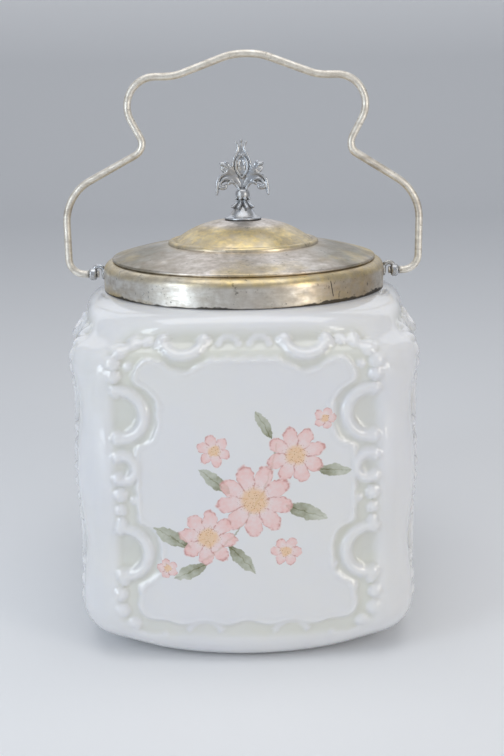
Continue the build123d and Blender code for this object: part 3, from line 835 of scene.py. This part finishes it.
def plate_relief(tree, place, spots):
    """Height of the polishing lines, a slow ripple and the pits of the specks."""
    stretched = add(tree, "ShaderNodeMapping", Vector=place, Scale=LINE_STRETCH).outputs[0]
    lines = use_group(tree, SCRATCHES, Vector=stretched, Scale=LINE_SCALE).outputs[0]
    ripple = noise_value(tree, place, 70.0, 2.0)
    relief = calc(tree, "ADD", times(tree, lines, LINE_DEPTH), times(tree, ripple, RIPPLE_DEPTH))
    return calc(tree, "SUBTRACT", relief, times(tree, spots, SPOT_DEPTH))


# %% One recipe for all plated pieces
def plated_material(name, silver, warm, shows, roughness, specks, mottle, warm_band=None, film_and_shade=None,
                    edge_at=None, scratch=None, cast=False):
    """Plate whose clouds of warm metal begin at one noise level and are full at another."""
    material, tree, shader, place = new_material(name)
    colour, haze = plated_colour(tree, place, silver, warm, shows, warm_band, film_and_shade)
    colour = tinted(tree, colour, haze, mottle, HAZE)
    colour = tinted(tree, colour, worn(tree, place, *GRAIN_CLOUDS), mottle, GRAIN)
    colour = tinted(tree, colour, worn(tree, place, *POLISHED_CLOUDS), POLISHED_SHARE, POLISHED)
    spots = use_group(tree, SPECKS, Vector=place, Scale=SPECK_SCALE, Amount=specks).outputs[0]
    dark = tarnish_and_shade(tree, place, spots, edge_at, scratch, cast)
    rough = calc(tree, "ADD", times(tree, haze, HAZE_ROUGH), roughness)
    rough = calc(tree, "ADD", rough, times(tree, dark, DARK_ROUGH))
    tree.links.new(blend_colour(tree, dark, colour, TARNISH), shader.inputs["Base Color"])
    shader.inputs["Metallic"].default_value = 1.0
    tree.links.new(rough, shader.inputs["Roughness"])
    roughen(tree, shader, 0.35, 0.4, plate_relief(tree, place, spots))
    print(name, len(tree.nodes), "nodes")
    return material


# %% Plated materials
# each pair: the silver as it has gone, and what shows through it
COLLAR_SILVER, COLLAR_WARM = (0.81, 0.80, 0.76, 1), (0.72, 0.56, 0.25, 1)
LID_SILVER, LID_WARM = (0.88, 0.81, 0.76, 1), (0.82, 0.64, 0.27, 1)
CAST_SILVER, CAST_WARM = (0.58, 0.63, 0.70, 1), (0.58, 0.55, 0.46, 1)
WIRE_SILVER, WIRE_WARM = (0.94, 0.90, 0.82, 1), (0.50, 0.44, 0.36, 1)
BRASS, DULL_BRASS = (0.66, 0.55, 0.30, 1), (0.55, 0.43, 0.20, 1)
# films of tarnish and painted shade: where they begin and are thickest, amount, whether on both sides, colour
# the collar darkens and browns towards its right: partly tarnish, partly painted shade
COLLAR_FILM_AND_SHADE = (-34, 56, 0.9, False, (0.50, 0.37, 0.22, 1))
# the lid darkens towards both of its sides: painted shade, laid as a patchy film
LID_SHADE_FILM = (14, 44, 1.0, True, (0.27, 0.26, 0.21, 1))

collar_plate = plated_material("collar_plate", COLLAR_SILVER, COLLAR_WARM, (0.54, 0.72), roughness=0.30,
                               specks=0.55, mottle=0.5, warm_band=(149.2, 153.6, 1.0), film_and_shade=COLLAR_FILM_AND_SHADE,
                               edge_at=LAND_HEIGHT, scratch=(34.5, 143.5, 149.5))
lid_plate = plated_material("lid_plate", LID_SILVER, LID_WARM, (0.52, 0.74), roughness=0.34,
                            specks=0.5, mottle=0.6, warm_band=(158.9, 166.4, 0.95), film_and_shade=LID_SHADE_FILM)
# the cast pieces get painted shade in their crevices and hollows
cast_silver = plated_material("cast_silver", CAST_SILVER, CAST_WARM, (0.55, 0.72), roughness=0.24,
                              specks=0.3, mottle=0.45, cast=True)
bail_silver = plated_material("bail_silver", WIRE_SILVER, WIRE_WARM, (0.54, 0.68), roughness=0.42,
                              specks=0.35, mottle=0.35)
inner_brass = plated_material("inner_brass", BRASS, DULL_BRASS, (0.45, 0.6), roughness=0.32,
                              specks=0.2, mottle=0.3)

# %% [markdown]
# ## Painted spray
# Such jars carry a spray of flowers brushed on the glass in thin colours and fired. This one is a curved
# stem with round many-petalled blossoms, buds and narrow leaves. Each motif is a group that measures the
# distance from its own centre, so the paint keeps a crisp edge at any size of picture.

# %% The brush
BRUSH_SHAKE = 2.4


def brushed_place(group, given):
    """Place on the face in millimetres, with the wobble of a brush, measured from the motif's centre."""
    scaled = add(group, "ShaderNodeVectorMath", operation="SCALE", in0=given["Vector"], Scale=1 / MM).outputs[0]
    wobble = add(group, "ShaderNodeTexNoise", Vector=scaled, Scale=0.45, Detail=3.0).outputs["Color"]
    centred = add(group, "ShaderNodeVectorMath", operation="SUBTRACT", in0=wobble, in1=(0.5, 0.5, 0.5))
    shifted = add(group, "ShaderNodeVectorMath", operation="MULTIPLY_ADD", in0=centred.outputs[0],
                  in1=(BRUSH_SHAKE,) * 3, in2=scaled)
    parts = add(group, "ShaderNodeSeparateXYZ", Vector=shifted.outputs[0]).outputs
    across = calc(group, "SUBTRACT", parts[0], given["Across"])
    up = calc(group, "SUBTRACT", parts[2], given["Up"])
    return across, up, scaled


def from_centre(group, across, up):
    return calc(group, "SQRT", calc(group, "ADD", times(group, across, across), times(group, up, up)))


# %% Blossom
def make_blossom():
    """Masks of a round blossom: its petals, their shade, its dark lines, its eye and the dots round it."""
    group, given = new_group("brushed_blossom",
                             {"Across": 0.0, "Up": 0.0, "Size": 10.0, "Petals": 8.0, "Turn": 0.0},
                             ["Petal", "Shade", "Line", "Eye", "Dots"])
    across, up, scaled = brushed_place(group, given)
    radius = from_centre(group, across, up)
    inward = calc(group, "DIVIDE", radius, given["Size"])
    angle = calc(group, "ADD", calc(group, "ARCTAN2", up, across), given["Turn"])
    angle = times(group, angle, times(group, given["Petals"], 0.5))
    wave = calc(group, "ABSOLUTE", calc(group, "COSINE", angle))
    fullness = calc(group, "MULTIPLY_ADD", calc(group, "POWER", wave, 0.55), 0.42, 0.58)
    share = calc(group, "DIVIDE", radius, times(group, given["Size"], fullness))
    petal = ramp_value(group, share, 0.95, 1.02, 1.0, 0.0)
    rim = times(group, ramp_value(group, share, 0.88, 0.97), petal)
    gap = times(group, ramp_value(group, wave, 0.10, 0.28, 1.0, 0.0), petal)
    streak = noise_value(group, scaled, 0.7, 4.0)
    line = times(group, calc(group, "MAXIMUM", rim, gap), ramp_value(group, streak, 0.38, 0.58))
    shade = calc(group, "MULTIPLY_ADD", share, 0.55, times(group, streak, 0.55), clamp=True)
    eye = ramp_value(group, inward, 0.24, 0.42, 1.0, 0.0)
    ring = ramp_value(group, inward, 0.36, 0.50, 1.0, 0.0)
    specks = add(group, "ShaderNodeTexVoronoi", Vector=scaled, Scale=1.5).outputs["Distance"]
    dots = times(group, ramp_value(group, specks, 0.16, 0.26, 1.0, 0.0), ring)
    return put_out(group, petal, shade, line, eye, dots)


# %% Leaf
def make_leaf():
    """Masks of a pointed leaf, and of its shade with a darker vein."""
    group, given = new_group("brushed_leaf",
                             {"Across": 0.0, "Up": 0.0, "Length": 7.0, "Width": 2.4, "Turn": 0.0},
                             ["Leaf", "Shade"])
    across, up, scaled = brushed_place(group, given)
    cosine = calc(group, "COSINE", given["Turn"])
    sine = calc(group, "SINE", given["Turn"])
    along = calc(group, "ADD", times(group, across, cosine), times(group, up, sine))
    side = calc(group, "SUBTRACT", times(group, up, cosine), times(group, across, sine))
    side = calc(group, "ABSOLUTE", side)
    share = calc(group, "DIVIDE", along, given["Length"])
    room = times(group, given["Width"], calc(group, "SUBTRACT", 1.0, times(group, share, share)))
    leaf = ramp_value(group, calc(group, "SUBTRACT", room, side), 0.0, 0.35)
    vein = ramp_value(group, side, 0.08, 0.35, 1.0, 0.0)
    tone = calc(group, "ADD", noise_value(group, scaled, 0.30, 3.0), times(group, vein, 0.22))
    return put_out(group, leaf, calc(group, "MULTIPLY_ADD", share, -0.32, tone, clamp=True))


# %% Stem
def make_stem():
    """Mask of a stem that follows the right side of a circle between two heights."""
    group, given = new_group("brushed_stem",
                             {"Across": 0.0, "Up": 0.0, "Radius": 60.0, "Low": 0.0, "High": 90.0}, ["Stem"])
    across, up, scaled = brushed_place(group, given)
    away = calc(group, "SUBTRACT", from_centre(group, across, up), given["Radius"])
    stem = ramp_value(group, calc(group, "ABSOLUTE", away), 0.22, 0.48, 1.0, 0.0)
    height = height_of(group, scaled)
    above = calc(group, "GREATER_THAN", height, given["Low"])
    below = calc(group, "LESS_THAN", height, given["High"])
    side = calc(group, "GREATER_THAN", across, 0.0)
    return put_out(group, times(group, times(group, stem, side), times(group, above, below)))


BLOSSOM = make_blossom()
LEAF = make_leaf()
STEM = make_stem()
print("motifs:", BLOSSOM.name, LEAF.name, STEM.name)

# %% [markdown]
# ## Opal glass
# The glass is white all through and lets a little light in, so it has a soft body under a hard gloss.
# Plain white would look like plaster. Light that scatters under the surface gives the body, and a coat
# gives the gloss. A painted shade of pale grey-green lies in the hollow band and leaves the raised scrolls
# clean: it follows the value that the mould left on each point.

# %% Places and paints of the spray
# the stem's circle: across, up, radius, and the heights between which it is painted
STALK = (-56, 100, 68.0, 44.0, 92.0)
# across, up, length, width, turn in degrees
LEAVES = [
    (-29, 54, 8.5, 3.2, 150), (-22, 40, 7.5, 2.9, 205), (-2, 45, 8.0, 2.8, -48), (23, 64, 9.0, 3.3, -20),
    (-12, 77, 8.0, 2.9, 140), (33.5, 80.5, 7.0, 2.6, -5), (7, 99, 6.5, 2.4, 118),
]
# across, up, size, petals, turn
BLOSSOMS = [
    (3, 69, 15.0, 9.0, 0.2), (-15, 54, 11.5, 8.0, 0.9), (19, 87, 11.5, 8.0, 0.5), (-12, 89, 6.5, 6.0, 0.3),
    (15, 48, 6.2, 6.0, 1.1), (30, 101, 4.4, 5.0, 0.0), (-31, 41, 4.2, 5.0, 0.6),
]
# the paint lies on the glass in front of this depth, so the other faces stay plain
FRONT = -50
STEM_BROWN = (0.30, 0.27, 0.14, 1)
LEAF_PALE, LEAF_DARK = (0.46, 0.49, 0.33, 1), (0.16, 0.16, 0.07, 1)
PETAL_PALE, PETAL_PINK = (0.87, 0.78, 0.77, 1), (0.80, 0.46, 0.43, 1)
LINE_RED, EYE_OCHRE, DOT_BROWN = (0.48, 0.20, 0.17, 1), (0.80, 0.50, 0.20, 1), (0.34, 0.11, 0.03, 1)


def paint_spray(tree, place, colour):
    """Lay the stem, the leaves and the blossoms over a colour, on the front alone."""
    depth = add(tree, "ShaderNodeSeparateXYZ", Vector=place).outputs[1]
    in_front = calc(tree, "LESS_THAN", depth, FRONT * MM)

    def motif(group, **values):
        brushed = use_group(tree, group, Vector=place, **values)
        return [times(tree, mask, in_front) for mask in brushed.outputs]

    across, up, radius, low, high = STALK
    stem, = motif(STEM, Across=across, Up=up, Radius=radius, Low=low, High=high)
    colour = tinted(tree, colour, stem, 0.6, STEM_BROWN)
    for across, up, length, width, turn in LEAVES:
        leaf, shade = motif(LEAF, Across=across, Up=up, Length=length, Width=width, Turn=math.radians(turn))
        thin = calc(tree, "MULTIPLY_ADD", shade, 0.65, 0.40, clamp=True)
        colour = tinted(tree, colour, leaf, thin, blend_colour(tree, shade, LEAF_PALE, LEAF_DARK))
    for across, up, size, petals, turn in BLOSSOMS:
        petal, shade, line, eye, dots = motif(BLOSSOM, Across=across, Up=up, Size=size, Petals=petals,
                                              Turn=turn)
        thin = calc(tree, "MULTIPLY_ADD", shade, 0.75, 0.25)
        colour = tinted(tree, colour, petal, thin, blend_colour(tree, shade, PETAL_PALE, PETAL_PINK))
        for mask, strength, paint in ((line, 0.6, LINE_RED), (eye, 0.62, EYE_OCHRE), (dots, 0.9, DOT_BROWN)):
            colour = tinted(tree, colour, mask, strength, paint)
    return colour


print("spray:", len(LEAVES), "leaves,", len(BLOSSOMS), "blossoms and buds")

# %% Opal glass with its spray
# the white clouds a little from cool to warm, and the painted shade of the band is thicker where it is warm
COOL_WHITE, WARM_WHITE = (0.745, 0.750, 0.780, 1), (0.765, 0.762, 0.755, 1)
BAND_SHADE = (0.69, 0.69, 0.605, 1)
BAND_SHADE_LEAST, BAND_SHADE_MORE = 0.35, 0.45
GLOSS = {"Roughness": 0.13, "IOR": 1.5, "Coat Weight": 0.7, "Coat Roughness": 0.04, "Subsurface Weight": 0.6,
         "Subsurface Radius": (1.0, 0.95, 0.85), "Subsurface Scale": 3.5 * MM}


def opal_material():
    material, tree, shader, place = new_material("opal_glass")
    cloud = worn(tree, place, 16.0, 0.35, 0.70)
    colour = blend_colour(tree, cloud, COOL_WHITE, WARM_WHITE)
    # painted shade: the hollow band is darkened to grey-green where the mould marked each point as deep in it
    hollow = add(tree, "ShaderNodeAttribute", attribute_name="hollow").outputs["Fac"]
    colour = tinted(tree, colour, hollow, calc(tree, "MULTIPLY_ADD", cloud, BAND_SHADE_MORE, BAND_SHADE_LEAST), BAND_SHADE)
    tree.links.new(paint_spray(tree, place, colour), shader.inputs["Base Color"])
    for socket, value in GLOSS.items():
        shader.inputs[socket].default_value = value
    roughen(tree, shader, 0.12, 0.6, noise_value(tree, place, 30.0, 2.0))
    print("opal_glass", len(tree.nodes), "nodes")
    return material


finished_piece("jar_glass", make_glass(), "jar", "jar_body", opal_material(), 60)

# %% [markdown]
# ## The cast finial
# A founder carves such a fleur-de-lis in wax, line by line, and the casting keeps every soft fillet
# between the lines. The same can be done here: a turned foot and cup, and small balls of wax laid
# close together along each line, thicker or thinner on the way. A fine voxel remesh then melts them
# into one skin. Places are measured from the foot, across and up, and one side mirrors the other.

# %% Lines of the casting
# each line: how flat it is front to back, how far forward it lies, then (across, up, radius) on the way
SPINE = (0.34, 0.0, [(0, 32.2, 0.55), (0, 30.6, 0.55), (0, 29.0, 0.95), (0, 27.2, 1.7), (0, 25.4, 2.5),
                     (0, 23.6, 3.1), (0, 22.0, 3.35), (0, 20.4, 3.1), (0, 18.6, 2.3), (0, 16.8, 1.6),
                     (0, 15.0, 1.3), (0, 12.6, 1.6)])
SIDE_LINES = [
    (1.0, 0.0, [(2.2, 31.8, 0.5), (1.45, 30.4, 0.56), (1.35, 29.0, 0.58), (2.1, 27.2, 0.62), (3.1, 24.7, 0.7),
                (3.65, 22.3, 0.74), (3.3, 20.0, 0.68), (2.4, 18.0, 0.6), (1.5, 16.0, 0.52), (0.8, 13.6, 0.46)]),
    (0.8, 0.95, [(0.1, 26.5, 0.38), (1.35, 25.5, 0.46), (2.15, 23.9, 0.5), (2.4, 22.1, 0.52), (2.1, 20.4, 0.5),
                 (1.25, 18.7, 0.46), (0.1, 17.3, 0.44)]),
    (0.7, 1.0, [(0.8, 24.3, 0.34), (1.2, 23.2, 0.4), (1.0, 22.3, 0.3)]),
    (0.7, 1.0, [(0.1, 22.4, 0.3), (0.9, 21.4, 0.4), (1.0, 20.3, 0.28)]),
    (0.42, 0.0, [(1.0, 13.2, 1.3), (2.4, 15.6, 1.8), (4.2, 17.1, 2.2), (6.4, 17.6, 2.1), (8.4, 16.8, 1.7),
                 (9.7, 15.2, 1.2), (10.3, 13.2, 0.9), (10.6, 11.2, 0.7)]),
    (0.8, 0.75, [(3.0, 15.1, 0.4), (4.7, 16.5, 0.54), (6.4, 17.0, 0.58), (8.0, 16.4, 0.58), (9.0, 15.2, 0.5)]),
    (0.8, 0.7, [(4.2, 18.8, 0.4), (6.4, 19.1, 0.55), (8.5, 18.3, 0.65), (9.9, 16.6, 0.68), (10.5, 14.2, 0.7),
                (10.65, 12.0, 0.66), (10.75, 10.6, 0.58)]),
    (0.8, 0.3, [(9.6, 15.0, 0.8), (9.2, 13.8, 0.95), (8.3, 13.2, 1.05), (7.2, 13.4, 0.95), (6.8, 14.2, 0.65)]),
    (0.9, 0.85, [(1.5, 12.6, 0.62), (2.3, 14.1, 0.6), (3.3, 15.1, 0.6), (4.5, 15.4, 0.64), (5.6, 14.9, 0.72)]),
    (0.5, 0.0, [(2.6, 18.6, 1.7), (4.6, 20.0, 2.0), (6.3, 21.5, 1.8), (7.5, 22.5, 1.25), (8.6, 23.1, 0.7)]),
    (0.6, 0.0, [(5.4, 20.8, 1.4), (6.1, 22.6, 1.2), (6.5, 23.6, 0.75)]),
    (0.6, 0.0, [(5.8, 20.0, 1.3), (7.4, 20.6, 1.2), (8.3, 21.2, 0.75)]),
    (0.8, 0.7, [(3.9, 22.0, 0.4), (5.0, 20.9, 0.5), (6.1, 19.9, 0.4)]),
    (0.8, 0.7, [(5.6, 21.0, 0.4), (7.2, 22.3, 0.5), (8.4, 23.0, 0.5)]),
]
# radius, height, size, count
BEAD_RING = (2.85, 8.75, 0.72, 8)
COLLAR_LEAF = [(2.0, 8.0, 0.52), (2.4, 7.0, 0.72), (3.2, 6.1, 0.88), (4.1, 5.5, 0.84), (4.8, 5.4, 0.55)]
# radius and height of the turned foot and cup
TURNED = [
    (0, 0), (7.3, 0), (7.65, 0.18), (7.8, 0.6), (7.65, 1.0), (7.25, 1.2), (6.6, 1.3), (5.6, 2.1), (4.8, 3.1),
    (4.0, 4.3), (3.2, 5.5), (2.4, 6.7), (2.15, 7.7), (2.2, 8.4), (2.6, 9.0), (2.95, 9.6), (3.05, 10.3),
    (2.95, 11.2), (2.65, 12.0), (2.2, 12.5), (1.2, 12.9), (0, 13.1),
]
TIP_HEIGHT, TIP_SIZE = 32.35, 0.75
# it leans to one side by this share of the height over its bead ring
LEAN, LEAN_FROM = 0.016, 9
FINIAL_SEAT = 168.3
print("casting:", 1 + 2 * len(SIDE_LINES), "lines, right and left, and", len(TURNED), "points to turn")

# %% Wax balls along a line
BALL_GAP = 0.25
TURN_STEPS = 72
VOXEL, SOFTEN_PASSES = 0.18, 2
HOLLOW_REACH, HOLLOW_PASSES = 0.22, 14


def between(stops, gap):
    """Smooth run of places and radii through a line's stops."""
    stops = np.array(stops, dtype=float)
    share = np.concatenate([[0], np.cumsum(np.linalg.norm(np.diff(stops[:, :2], axis=0), axis=1))])
    ends = np.vstack([2 * stops[0] - stops[1], stops, 2 * stops[-1] - stops[-2]])
    run = []
    for place in np.arange(0, share[-1], gap):
        piece = min(int(np.searchsorted(share, place, side="right")) - 1, len(stops) - 2)
        part = (place - share[piece]) / (share[piece + 1] - share[piece])
        a, b, c, d = ends[piece:piece + 4]
        run.append(0.5 * (2 * b + (c - a) * part + (2 * a - 5 * b + 4 * c - d) * part ** 2
                          + (3 * b - a - 3 * c + d) * part ** 3))
    return run + [stops[-1]]


def wax_ball():
    shape = bmesh.new()
    bmesh.ops.create_icosphere(shape, subdivisions=2, radius=1)
    mesh = bpy.data.meshes.new("wax_ball")
    shape.to_mesh(mesh)
    shape.free()
    return mesh


BALL = wax_ball()


def lay_ball(wax, place, radius, flat=1.0):
    """Ball of wax at a place, made thinner front to back where it is flat."""
    placed = Matrix.Translation(place) @ Matrix.Diagonal((radius, radius * flat, radius, 1))
    BALL.transform(placed)
    wax.from_mesh(BALL)
    BALL.transform(placed.inverted())


def lay_line(wax, flat, forward, stops):
    """One line of the casting, on the right and left, and behind as in front when it lies forward."""
    for across, up, radius in between(stops, BALL_GAP):
        for side in (1, -1):
            for face in ((1, -1) if forward else (1,)):
                lay_ball(wax, (side * across, face * forward, up), radius, flat)


# %% Turn, melt and mark the wax
def turn_profile(wax, profile):
    """Turn a profile of radii and heights round the axis."""
    points = [wax.verts.new((radius, 0, height)) for radius, height in profile]
    edges = [wax.edges.new(pair) for pair in zip(points, points[1:])]
    bmesh.ops.spin(wax, geom=points + edges, cent=(0, 0, 0), axis=(0, 0, 1), angle=math.tau,
                   steps=TURN_STEPS, use_merge=True)


def melt_together(wax):
    """One closed skin round everything in the bmesh."""
    mesh = bpy.data.meshes.new("wax")
    wax.to_mesh(mesh)
    wax.free()
    rough = bpy.data.objects.new("wax", mesh)
    bpy.context.scene.collection.objects.link(rough)
    remesh = rough.modifiers.new("melt", "REMESH")
    remesh.mode = "VOXEL"
    remesh.voxel_size = VOXEL * MM
    soften = rough.modifiers.new("soften", "SMOOTH")
    soften.factor = 0.5
    soften.iterations = SOFTEN_PASSES
    skin = bpy.data.meshes.new_from_object(rough.evaluated_get(bpy.context.evaluated_depsgraph_get()))
    bpy.data.objects.remove(rough)
    shape = bmesh.new()
    shape.from_mesh(skin)
    return shape


def mark_shade_hollows(shape):
    """Float value for each point: how far it lies below the smoothed shape round it, which sets painted shade.
    """
    shape.verts.ensure_lookup_table()
    places = np.array([vert.co for vert in shape.verts])
    normals = np.array([vert.normal for vert in shape.verts])
    ends = np.array([(edge.verts[0].index, edge.verts[1].index) for edge in shape.edges])
    count = np.bincount(ends.ravel(), minlength=len(places))[:, None]
    soft = places.copy()
    for _ in range(HOLLOW_PASSES):
        total = np.zeros_like(soft)
        for axis in range(3):
            total[:, axis] = (np.bincount(ends[:, 0], soft[ends[:, 1], axis], len(places))
                              + np.bincount(ends[:, 1], soft[ends[:, 0], axis], len(places)))
        soft = total / count
    below = ((soft - places) * normals).sum(axis=1)
    layer = shape.verts.layers.float.new("hollow")
    for vert, value in zip(shape.verts, np.clip(below / (HOLLOW_REACH * MM), 0, 1)):
        vert[layer] = value


# %% Build up the finial
def make_finial():
    wax = bmesh.new()
    lay_line(wax, *SPINE)
    for line in SIDE_LINES:
        lay_line(wax, *line)
    lay_ball(wax, (0, 0, TIP_HEIGHT), TIP_SIZE)
    radius, height, size, count = BEAD_RING
    for step in range(count):
        turn = Matrix.Rotation(math.tau * (step + 0.5) / count, 4, "Z")
        lay_ball(wax, turn @ Vector((radius, 0, height)), size)
        for across, up, thick in between(COLLAR_LEAF, BALL_GAP):
            lay_ball(wax, turn @ Vector((across, 0, up)), thick)
    turn_profile(wax, TURNED)
    for vert in wax.verts:
        vert.co.x -= LEAN * max(vert.co.z - LEAN_FROM, 0)
    bmesh.ops.scale(wax, verts=wax.verts, vec=(MM, MM, MM))
    bmesh.ops.recalc_face_normals(wax, faces=wax.faces)
    shape = melt_together(wax)
    # the hollow value sets the painted shade in the casting's crevices
    mark_shade_hollows(shape)
    bmesh.ops.translate(shape, verts=shape.verts, vec=(0, 0, FINIAL_SEAT * MM))
    return shape


finished_piece("finial_casting", make_finial(), "lid", "finial", cast_silver, 180)

# %% [markdown]
# ## The bail
# The wire was bent round pins by hand, and years of lifting have pushed its crown a little to one side.
# The solid model's wire is kept, and its points above the shoulders are moved across by a soft step, so
# the legs and the pivots stay true.

# %% Push the bail's crown over
CROWN_SHIFT = 2.1
CROWN_FROM, CROWN_TO = 184, 202


def bent_wire():
    """Copy of the solid model's bail, merged, with its crown moved across."""
    node = nodes["bail_handle"]
    wire = bmesh.new()
    wire.from_mesh(node.data)
    bmesh.ops.remove_doubles(wire, verts=wire.verts, dist=0.001 * MM)
    bmesh.ops.transform(wire, matrix=node.matrix_world, verts=wire.verts)
    for vert in wire.verts:
        vert.co.x += CROWN_SHIFT * MM * float(soft_step(vert.co.z / MM, CROWN_FROM, CROWN_TO))
    bmesh.ops.recalc_face_normals(wire, faces=wire.faces)
    return wire


finished_piece("bail_wire", bent_wire(), "bail", "bail_handle", bail_silver, 40)

# %% [markdown]
# ## Plaster and the carried-over parts
# The plaster bed, the collar, the ears, the lid and the hidden fastenings are turned or plain shapes that
# the solid model has in full. They keep its meshes and only get a finish.

# %% Finishes of the carried-over parts
PLASTER = (0.72, 0.70, 0.64, 1)


def plaster_material():
    """Dull and slightly gritty."""
    material = plain_material("plaster", PLASTER, 0.95)
    tree = material.node_tree
    place = add(tree, "ShaderNodeTexCoord").outputs["Object"]
    roughen(tree, tree.nodes["Principled BSDF"], 0.5, 0.3, noise_value(tree, place, 400.0, 5.0))
    return material


FINISHES = {
    "collar_band": collar_plate, "cement_ring": plaster_material(), "ear_left": cast_silver,
    "ear_right": cast_silver, "lid_shell": lid_plate, "lid_skirt": lid_plate,
    "finial_stud": inner_brass, "finial_washer": inner_brass, "finial_nut": inner_brass}
for node_name, finish in FINISHES.items():
    mesh = nodes[node_name].data
    mesh.materials.clear()
    mesh.materials.append(finish)
    print(node_name, len(mesh.polygons), "faces,", finish.name)

# %% [markdown]
# ## Finish
# The finished jar should fill the same box as the solid model. The last step brings the scene up to date.

# %% Finish
bpy.context.view_layer.update()
